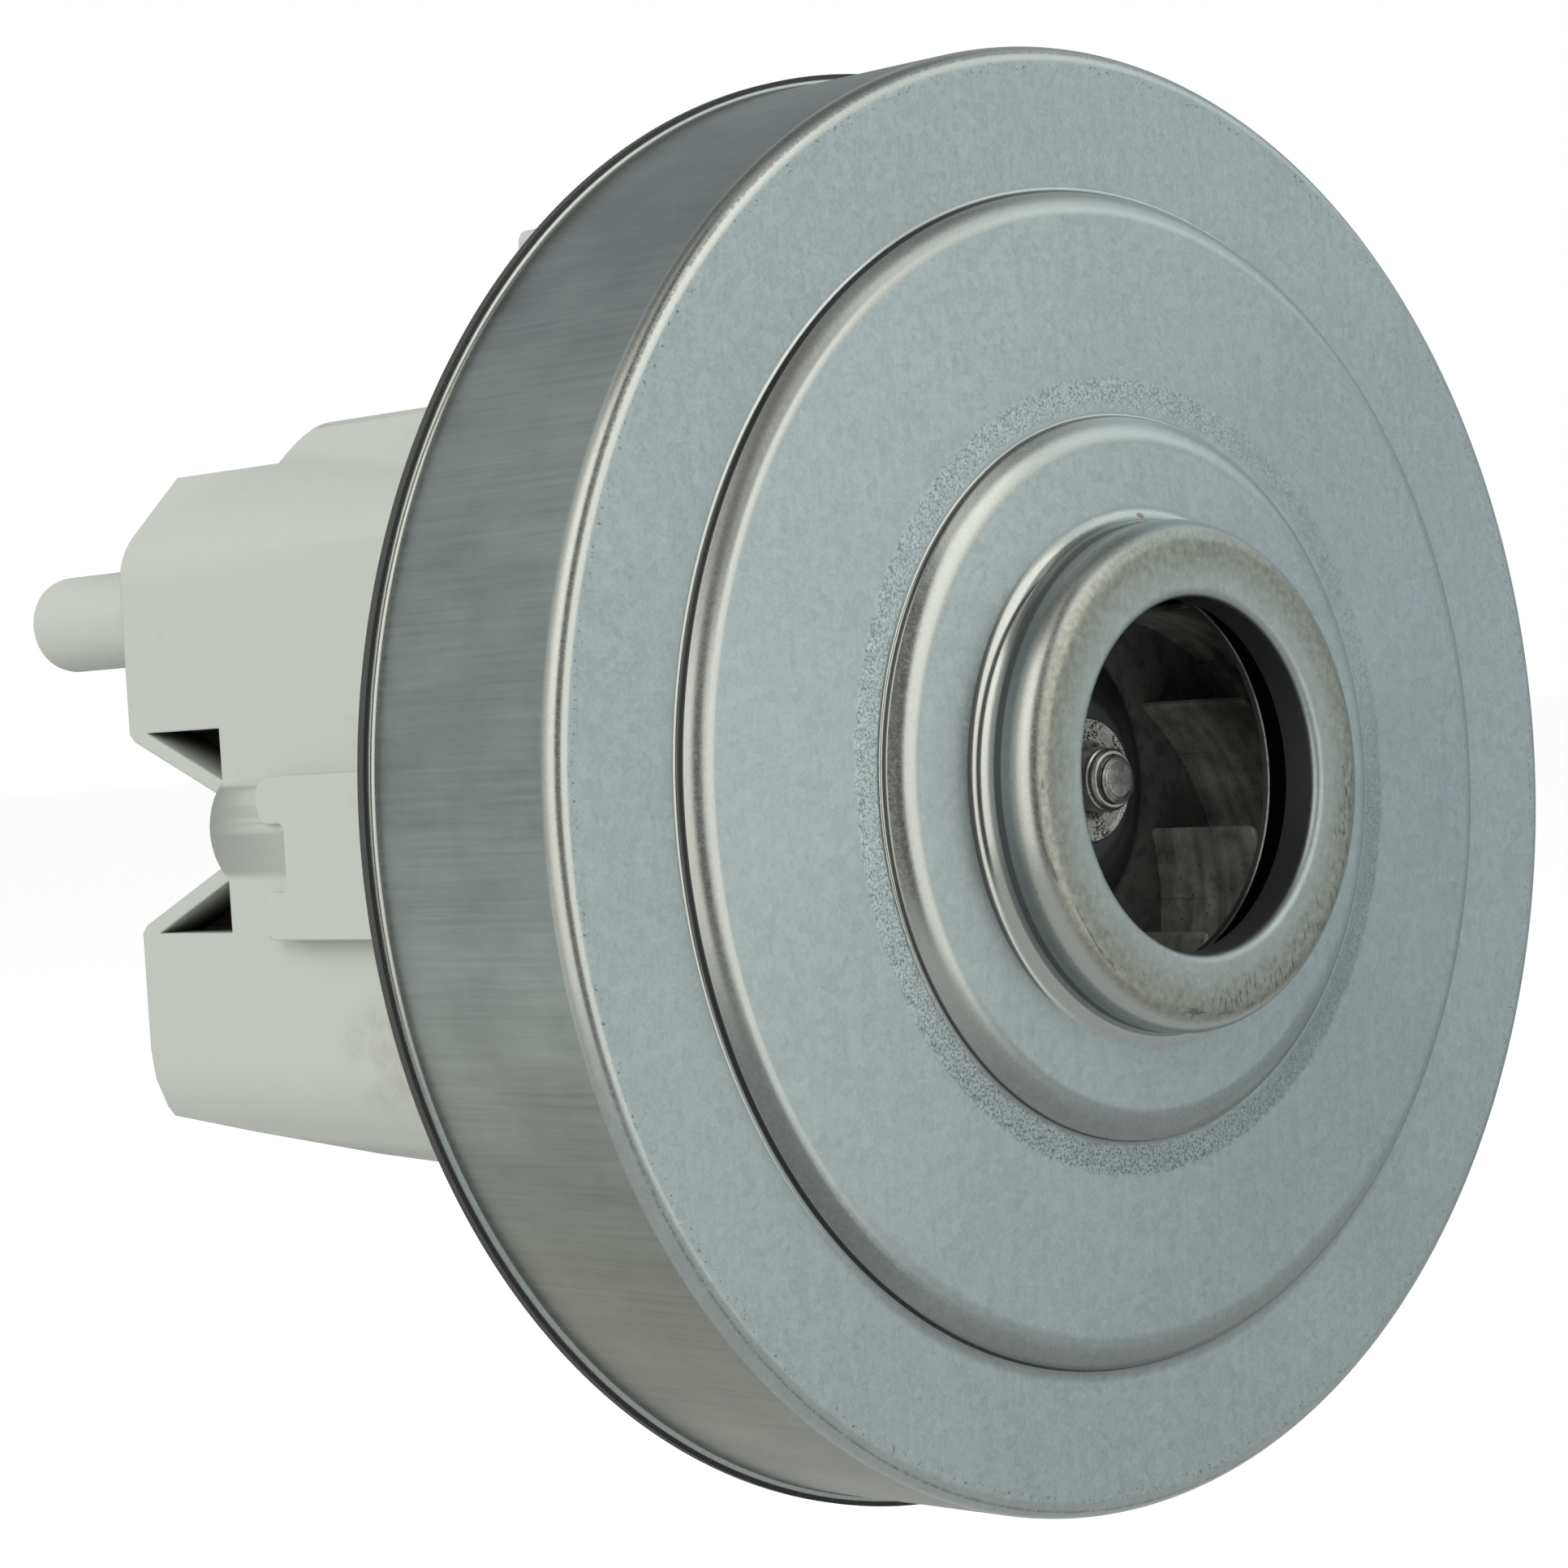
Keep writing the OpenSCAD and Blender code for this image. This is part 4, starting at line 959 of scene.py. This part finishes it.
@dataclass
class ShaftNose:
    """The shaft with its threaded nose, the collar nut on it and the clamping washer behind."""

    nose_r: float = 2.32
    pitch: float = 0.8
    thread_depth: float = 0.30
    chamfer_r: float = 1.60
    tool_mark: float = 0.09
    tool_feed: float = 0.14
    nose_end: float = -1.35
    nut_bore_r: float = 2.28
    nut_r: float = 2.98
    nut_front: float = -0.6
    nut_back: float = 2.9
    washer_r: float = 5.8
    washer_bore_r: float = 2.55
    plate_hub: float = 4.5
    seat_r: float = 3.0
    shoulder: float = 10.6
    body_r: float = 4.0
    rear_shoulder: float = 84.0
    shaft_end: float = 91.0

    @staticmethod
    def helix(depth: np.ndarray, angle: np.ndarray, pitch: float) -> np.ndarray:
        """A raised cosine from 0 to 1 that winds round the shaft once in each pitch."""
        return 0.5 - 0.5 * np.cos(2 * math.pi * (depth / pitch - angle / (2 * math.pi)))

    def shaft(self) -> Object:
        """The shaft: a radius for each station, cut on the nose by a helix that fades at the chamfer.

        The thread lowers the radius by a raised cosine of depth over pitch less the angle's share of a turn.
        """
        turns = 96
        hub, seat, body = self.plate_hub, self.seat_r, self.body_r
        nose = np.linspace(self.nose_end, hub, 110)
        steps = [hub, hub, self.shoulder, self.shoulder, self.rear_shoulder, self.rear_shoulder,
                 self.shaft_end - 0.5, self.shaft_end]
        radii = [seat - 0.5, seat, seat, body, body, seat, seat, seat - 0.5]
        stations = np.concatenate([nose, steps])
        smooth = np.concatenate([np.full(len(nose), self.nose_r), radii])
        angle = np.linspace(0, 2 * math.pi, turns, endpoint=False)[None]
        depth = stations[:, None]
        wave = self.helix(depth, angle, self.pitch)
        threaded = (depth < hub - 0.05) * 1.0
        radius = smooth[:, None] - self.thread_depth * wave**1.4 * threaded
        chamfer = self.chamfer_r + (depth - self.nose_end) * 2.0
        cone = chamfer - self.tool_mark * self.helix(depth, angle, self.tool_feed)
        return spindle("motor_shaft", np.minimum(radius, cone), stations, turns)

    def nut(self) -> Object:
        """The collar nut: chamfered front, a shallow groove behind it and a rim."""
        r, f, bore = self.nut_r, self.nut_front, self.nut_bore_r
        outline = [(bore, f), (r - 0.4, f), (r - 0.1, f + 0.3), (r - 0.1, f + 0.46), (r - 0.27, f + 0.56),
                   (r - 0.27, f + 0.78), (r - 0.04, f + 0.88), (r, f + 1.2), (r, self.nut_back),
                   (bore, self.nut_back)]
        return lathe("collar_nut", supported(round_path(outline, [0] + [0.05] * 8 + [0], 3)), 128)

    def washer(self) -> Object:
        """The washer, slightly dished towards its rim."""
        front = self.nut_back - 0.45
        bore, rim = self.washer_bore_r, self.washer_r
        top = [(bore, self.nut_back), (3.0, front + 0.1), (rim - 0.7, front + 0.1), (rim - 0.15, front),
               (rim, front + 0.25), (rim, self.plate_hub), (bore, self.plate_hub)]
        return lathe("hub_washer", supported(round_path(top, [0, 0.3, 0.4, 0.12, 0.1, 0.05, 0], 4)), 128)

    def build(self) -> None:
        """Builds the three pieces and dresses them."""
        steel = Metal((0.24, 0.24, 0.23), rough=0.20, metal=0.95, mottle=1.3, tone=0.5, dirt_and_shade=1.0)
        plated = Metal((0.42, 0.42, 0.40), rough=0.28, metal=0.92, mottle=1.0, tone=0.25, dirt_and_shade=0.45)
        turned, plating = steel.material("turned_steel"), plated.material("plated_nut")
        settle(self.shaft(), Body.ROTOR, "shaft", turned)
        settle(self.nut(), Body.ROTOR, "impeller_nut", plating)
        speckled = SpeckledWasher().material("speckled_washer")
        settle(self.washer(), Body.ROTOR, "clamp_washer", speckled)


@dataclass(frozen=True)
class SpeckledWasher:
    """The washer's grey plating with black specks of grime."""

    colour: Colour = (0.33, 0.33, 0.305)
    speck: Colour = (0.008, 0.008, 0.008)

    def material(self, name: str) -> Material:
        """Fine grey grain with clustered black specks, and painted shade round the nut."""
        g = Surface(name)
        fine = g.noise(3.0, 4.0, 0.7)
        cluster = g.noise(0.5, 2.0)
        specks = (g.noise(4.6, 2.0, 0.6) + cluster.swing(0.5)).step(0.57, 0.62)
        # Painted shade: the washer darkens close round the nut.
        nut_shade = g.radius.step(3.9, 3.4)
        colour = g.toned(self.colour, 0.7 + fine * 0.6)
        colour = g.blend(colour, self.speck, specks.maximum(nut_shade * 0.7))
        return g.finish(colour, 0.36 + specks * 0.3, 0.8 - specks * 0.7, fine - specks * 0.6, 0.05)


@dataclass(frozen=True)
class HousingPlastic:
    """The housing's pale plastic, with painted shade in its air channel, a few handling marks and a fine
    grain.
    """

    colour: Colour = (0.56, 0.59, 0.535)
    smudge: Colour = (0.40, 0.39, 0.35)
    inside: Colour = (0.016, 0.013, 0.009)
    channel_h: float = 10.3
    channel_start: float = 76.6

    def material(self, name: str) -> Material:
        """Cloudy tone and grain, marks at a few places, and painted shade that deepens into the channel."""
        g = Surface(name)
        fine = g.noise(2.2, 3.0, 0.6)
        tone = 1.0 + g.noise(0.045, 3.0).swing(0.05) + fine.swing(0.05)
        blot = g.noise(0.22, 4.0, 0.62)
        marks = blot.step(0.60, 0.78) * 0.18
        on_side = g.x.step(-40.0, -42.0)
        low_mark = ((g.y - 58.0).squared() * 0.25 + (g.z + 22.0).squared()).step(60.0, 8.0)
        pad_mark = ((g.y - 44.0).squared() * 0.25 + (g.z - 5.5).squared()).step(16.0, 2.0)
        low_mark = low_mark * blot.step(0.36, 0.62) * 0.5
        pad_mark = pad_mark * blot.step(0.3, 0.6) * 0.35
        marks = marks.maximum(on_side * low_mark.maximum(pad_mark))
        colour = g.blend(g.toned(self.colour, tone), self.smudge, marks)
        # Painted shade: the channel behind the windows is painted near black, darkest further in from the
        # side walls.
        behind = g.depth.step(self.channel_start - 0.3, self.channel_start + 0.3)
        between = abs(g.z).step(self.channel_h + 0.2, self.channel_h - 0.2)
        deep = abs(g.x).step(42.8, 37.2) ** 0.45
        colour = g.blend(colour, self.inside, behind * between * deep)
        rough = 0.48 + g.noise(0.5, 3.0).swing(0.16) + marks * 0.2
        return g.finish(colour, rough, 0.0, fine, 0.012, g.rounded_edges(0.35), Specular_IOR_Level=0.4)


@dataclass
class MotorHousing:
    """The moulded housing, a joined copy of its CAD node, with thin walls that close its channel's windows;
    the channel's painted shade turns them dark, so they stand in for the shade inside.
    """

    web_x: float = 37.3
    web_t: float = 0.5
    channel_h: float = 10.3
    channel_start: float = 76.0
    channel_end: float = 91.6
    arm_tip: float = 4.2

    def shade_webs(self) -> tuple[np.ndarray, list]:
        """Four thin walls between the channel's arms and floors: one triangle, mirrored in x and z; dark
        sheets that stand in for shade.
        """
        corners = np.array([(self.channel_end, self.channel_h), (self.channel_start, self.channel_h),
                            (self.channel_start, self.arm_tip)])
        flat = np.repeat(corners[None], 2, 0)
        x = np.array([self.web_x, self.web_x - self.web_t])[:, None] + 0 * flat[..., 0]
        wall = np.stack([x, flat[..., 0] + BORE_MID, flat[..., 1]], -1).reshape(-1, 3)
        loops = [(0, 1, 2), (5, 4, 3), (0, 3, 4, 1), (1, 4, 5, 2), (2, 5, 3, 0)]
        points, faces = [], []
        for side, over in ((-1, -1), (-1, 1), (1, -1), (1, 1)):
            base = len(wall) * len(points)
            points.append(wall * (side, 1, over))
            faces.extend([base + i for i in loop] for loop in loops)
        return np.concatenate(points) * MM, faces

    def build(self) -> None:
        """Joins the node's mesh, adds the dark shade walls and gives the plastic's finish."""
        shell = merged_copy("motor_housing", "housing_moulding", self.shade_webs())
        plastic = HousingPlastic().material("housing_plastic")
        settle(shell, Body.FRAME, "motor_housing", plastic)


@dataclass
class InnerMotor:
    """Everything behind the cover and inside the housing that keeps its CAD mesh."""

    @staticmethod
    def each(firsts: str, seconds: str) -> list[str]:
        """Every first word joined to every second word by an underscore."""
        return [f"{first}_{second}" for second in seconds.split() for first in firsts.split()]

    def finishes(self) -> dict[str, tuple[Any, list[str]]]:
        """Each finish with the nodes it dresses."""
        ends = "front_bearing rear_bearing"
        holders = self.each("brush_holder brush_cap", "upper lower")
        screws = ["motor_screws", "bracket_screws", "rear_bearing_bracket"]
        return {
            "diffuser_plastic": (
                MouldedPlastic((0.035, 0.035, 0.038), rough=0.5, smudge=(0.10, 0.10, 0.095)),
                ["diffuser"],
            ),
            "cast_aluminium": (
                Metal((0.42, 0.43, 0.44), rough=0.5, mottle=0.6, relief=0.02),
                ["front_end_shield", "impeller_spacer"],
            ),
            "lamination_steel": (Laminations(), ["stator_core", "armature_core"]),
            "enamelled_copper": (
                WoundCopper(),
                ["field_coil_left", "field_coil_right", "armature_winding"],
            ),
            "copper_bars": (
                Metal((0.60, 0.25, 0.12), rough=0.3, tone=0.3, grain_axis=(0.1, 3.0, 0.1)),
                ["commutator_bars"],
            ),
            "moulded_resin": (SoftBlack((0.045, 0.020, 0.012), (0.10, 0.06, 0.04), 0.45), ["commutator_hub"]),
            "carbon": (
                SoftBlack((0.022, 0.022, 0.023), (0.05, 0.05, 0.05), 0.55),
                self.each("carbon_brush", "upper lower"),
            ),
            "sheet_brass": (
                Metal((0.58, 0.42, 0.17), rough=0.32, tone=0.25, dirt_and_shade=0.2),
                holders + ["terminal_tabs"] + self.each(ends, "cage"),
            ),
            "bearing_steel": (
                Metal((0.55, 0.56, 0.57), rough=0.16, metal=1.0, tone=0.1, relief=0.002),
                self.each(ends, "outer_ring inner_ring balls"),
            ),
            "zinc_plated_steel": (
                Metal((0.44, 0.45, 0.44), rough=0.34, tone=0.2, dirt_and_shade=0.15),
                screws + self.each(ends, "shields"),
            ),
            "black_rubber": (SoftBlack(), ["rear_bearing_bush"]),
            "spring_steel": (Metal((0.45, 0.45, 0.44), rough=0.25), self.each("brush_spring", "upper lower")),
        }

    def build(self) -> None:
        """Gives each node's mesh its finish."""
        for name, (finish, nodes) in self.finishes().items():
            material = finish.material(name)
            for node in nodes:
                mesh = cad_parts[node].data
                mesh.materials.clear()
                mesh.materials.append(material)
                log.info("%s dressed with %s", node, name)


@dataclass(frozen=True)
class SoftBox:
    """A square lamp that faces the object: place and size in metres, power in watts."""

    name: str
    place: Place
    size: float
    power: float
    aim: Place = (0.0, 0.04, 0.0)

    def build(self) -> None:
        """Hangs the lamp, hidden from mirrored rays, which see the sky's own panels instead."""
        data = bpy.data.lights.new(self.name, "AREA")
        data.shape = "SQUARE"
        data.size = self.size
        data.energy = self.power
        made = placed_object(self.name, data)
        made.location = self.place
        made.rotation_euler = (Vector(self.aim) - Vector(self.place)).to_track_quat("-Z", "Y").to_euler()
        made.visible_glossy = False


@dataclass(frozen=True)
class Sky:
    """What bare metal mirrors, by bearing: degrees from straight ahead of the inlet towards the left side.

    Two warm panels stand either side of a dark gap, a cooler wall beside them and a dimmer room behind.
    """

    peak: float = 2.0
    stops: tuple[tuple[float, Colour], ...] = (
        (-180.0, (0.44, 0.46, 0.47)),
        (-120.0, (0.36, 0.385, 0.40)),
        (-80.0, (0.46, 0.51, 0.53)),
        (-60.0, (0.66, 0.735, 0.74)),
        (-44.0, (0.69, 0.75, 0.755)),
        (-37.0, (0.90, 0.95, 0.94)),
        (-30.0, (1.70, 1.70, 1.64)),
        (6.0, (1.70, 1.70, 1.64)),
        (18.0, (0.08, 0.08, 0.08)),
        (40.0, (0.08, 0.08, 0.08)),
        (52.0, (1.75, 1.74, 1.66)),
        (78.0, (1.70, 1.68, 1.60)),
        (102.0, (0.95, 0.95, 0.91)),
        (125.0, (0.60, 0.62, 0.60)),
        (155.0, (0.58, 0.60, 0.60)),
        (180.0, (0.44, 0.46, 0.47)),
    )
    ceiling: float = 0.25
    high_gain: float = 0.8
    low_gain: float = 0.75
    rise_gain: float = 0.3

    def colour(self, g: Graph, x: Signal, y: Signal, rise: Signal) -> Socket:
        """The colour seen along a direction.

        Args:
            g: The tree to work in.
            x: The direction's share to the right.
            y: The direction's share to the back.
            rise: The sine of its height above the horizon.

        Returns:
            The colour's socket.
        """
        bearing = g.maths("ARCTAN2", 0.0 - x, 0.0 - y) * (180.0 / math.pi)
        stops = [(0.5 + turn / 360.0, tuple(c / self.peak for c in tint)) for turn, tint in self.stops]
        ramp = g.node("ShaderNodeValToRGB", {"stops": stops}, {"Fac": bearing / 360.0 + 0.5}).outputs["Color"]
        high_wall = bearing.band(-95.0, -42.0, 8.0) * rise.band(0.26, 0.70, 0.12)
        low_left = bearing.step(105.0, 130.0) * (0.0 - rise).band(0.14, 0.50, 0.10)
        level = 1.0 + high_wall * self.high_gain + low_left * self.low_gain + rise * self.rise_gain
        level = level * (1.0 - rise.step(0.72, 0.90) * (1.0 - self.ceiling)) * self.peak
        return g.toned(ramp, level)


@dataclass
class Studio:
    """Camera, lamps, world and floor."""

    lens: float = 93.17
    eye: Place = (-0.27912, -0.236845, 0.00824)
    back: Place = (-0.695, -0.7188, 0.0182)
    right: Place = (0.7166, -0.6945, -0.0644)
    floor_z: float = -0.125
    floor_half: float = 12.0
    ambient: float = 0.55
    floor_glow: float = 0.62
    lamps: tuple[SoftBox, ...] = (
        SoftBox("key_lamp", (0.55, -0.95, 0.75), 0.7, 9.0),
        SoftBox("fill_lamp", (-1.1, -0.35, 0.55), 0.8, 5.4),
        SoftBox("rear_lamp", (-0.7, 1.0, 0.5), 0.8, 3.6),
    )

    def camera(self) -> None:
        """The camera at the photograph's place and angle."""
        data = bpy.data.cameras.new("camera")
        data.lens = self.lens
        data.sensor_width = 36.0
        data.sensor_fit = "HORIZONTAL"
        data.clip_start = 0.01
        made = placed_object("camera", data)
        back = Vector(self.back).normalized()
        right = Vector(self.right)
        right = (right - back * right.dot(back)).normalized()
        turned = Matrix((right, back.cross(right), back)).transposed()
        made.matrix_world = Matrix.Translation(Vector(self.eye)) @ turned.to_4x4()
        bpy.context.scene.camera = made

    def world(self) -> None:
        """White to the camera, an even grey to matt surfaces and the sky's panels to mirrored rays."""
        world = bpy.data.worlds.new("studio")
        bpy.context.scene.world = world
        world.use_nodes = True
        g = Graph(world.node_tree, "Generated", 1.0)
        grey = (self.ambient,) * 3
        seen = g.blend(grey, Sky().colour(g, g.x, g.y, g.z), g.ray_is("Glossy"))
        shown = g.blend(seen, (1.0, 1.0, 1.0), g.ray_is("Camera").maximum(g.ray_is("Transmission")))
        back = g.node("ShaderNodeBackground", {}, {"Color": shown, "Strength": 1.0})
        g.node("ShaderNodeOutputWorld", {}, {"Surface": back.outputs[0]})

    def floor(self) -> None:
        """A wide pale floor, well under the object, that mirrored rays see as the sky carried on below."""
        mesh = bpy.data.meshes.new("floor")
        corners = [(-1, -1), (1, -1), (1, 1), (-1, 1)]
        size = self.floor_half
        mesh.from_pydata([(x * size, y * size, self.floor_z) for x, y in corners], [], [(0, 1, 2, 3)])
        made = placed_object("floor", mesh)
        g = Surface("pale_floor")
        tone = 1.0 + g.noise(0.01, 2.0).swing(0.01)
        glow = g.ray_is("Camera") * self.floor_glow
        matt = g.principled(g.toned((0.62, 0.62, 0.62), tone), 0.9, Emission_Strength=1.0,
                            Emission_Color=g.toned((1.0, 1.0, 1.0), glow), Specular_IOR_Level=0.1)
        reach = (g.x.squared() + g.y.squared() + g.z.squared()) ** 0.5
        sky = Sky().colour(g, g.x / reach, g.y / reach, g.z / reach)
        near = g.blend(sky, (0.66, 0.67, 0.65), reach.step(420.0, 200.0))
        mirrored = g.node("ShaderNodeEmission", {}, {"Color": near, "Strength": 1.0}).outputs[0]
        mixed = g.node("ShaderNodeMixShader", {}, {0: g.ray_is("Glossy"), 1: matt, 2: mirrored}).outputs[0]
        mesh.materials.append(g.close(mixed))

    def build(self) -> None:
        """Sets up the stage and the view transform."""
        self.camera()
        self.world()
        self.floor()
        for lamp in self.lamps:
            lamp.build()
        bpy.context.scene.view_settings.view_transform = "Standard"


def main() -> None:
    """Builds every sub-assembly, then the studio."""
    logging.basicConfig(level=logging.INFO, format="%(message)s")
    for part in (FanCover(), Impeller(), ShaftNose(), MotorHousing(), InnerMotor(), Studio()):
        part.build()
        log.info("%s done", type(part).__name__)


if __name__ == "__main__":
    main()
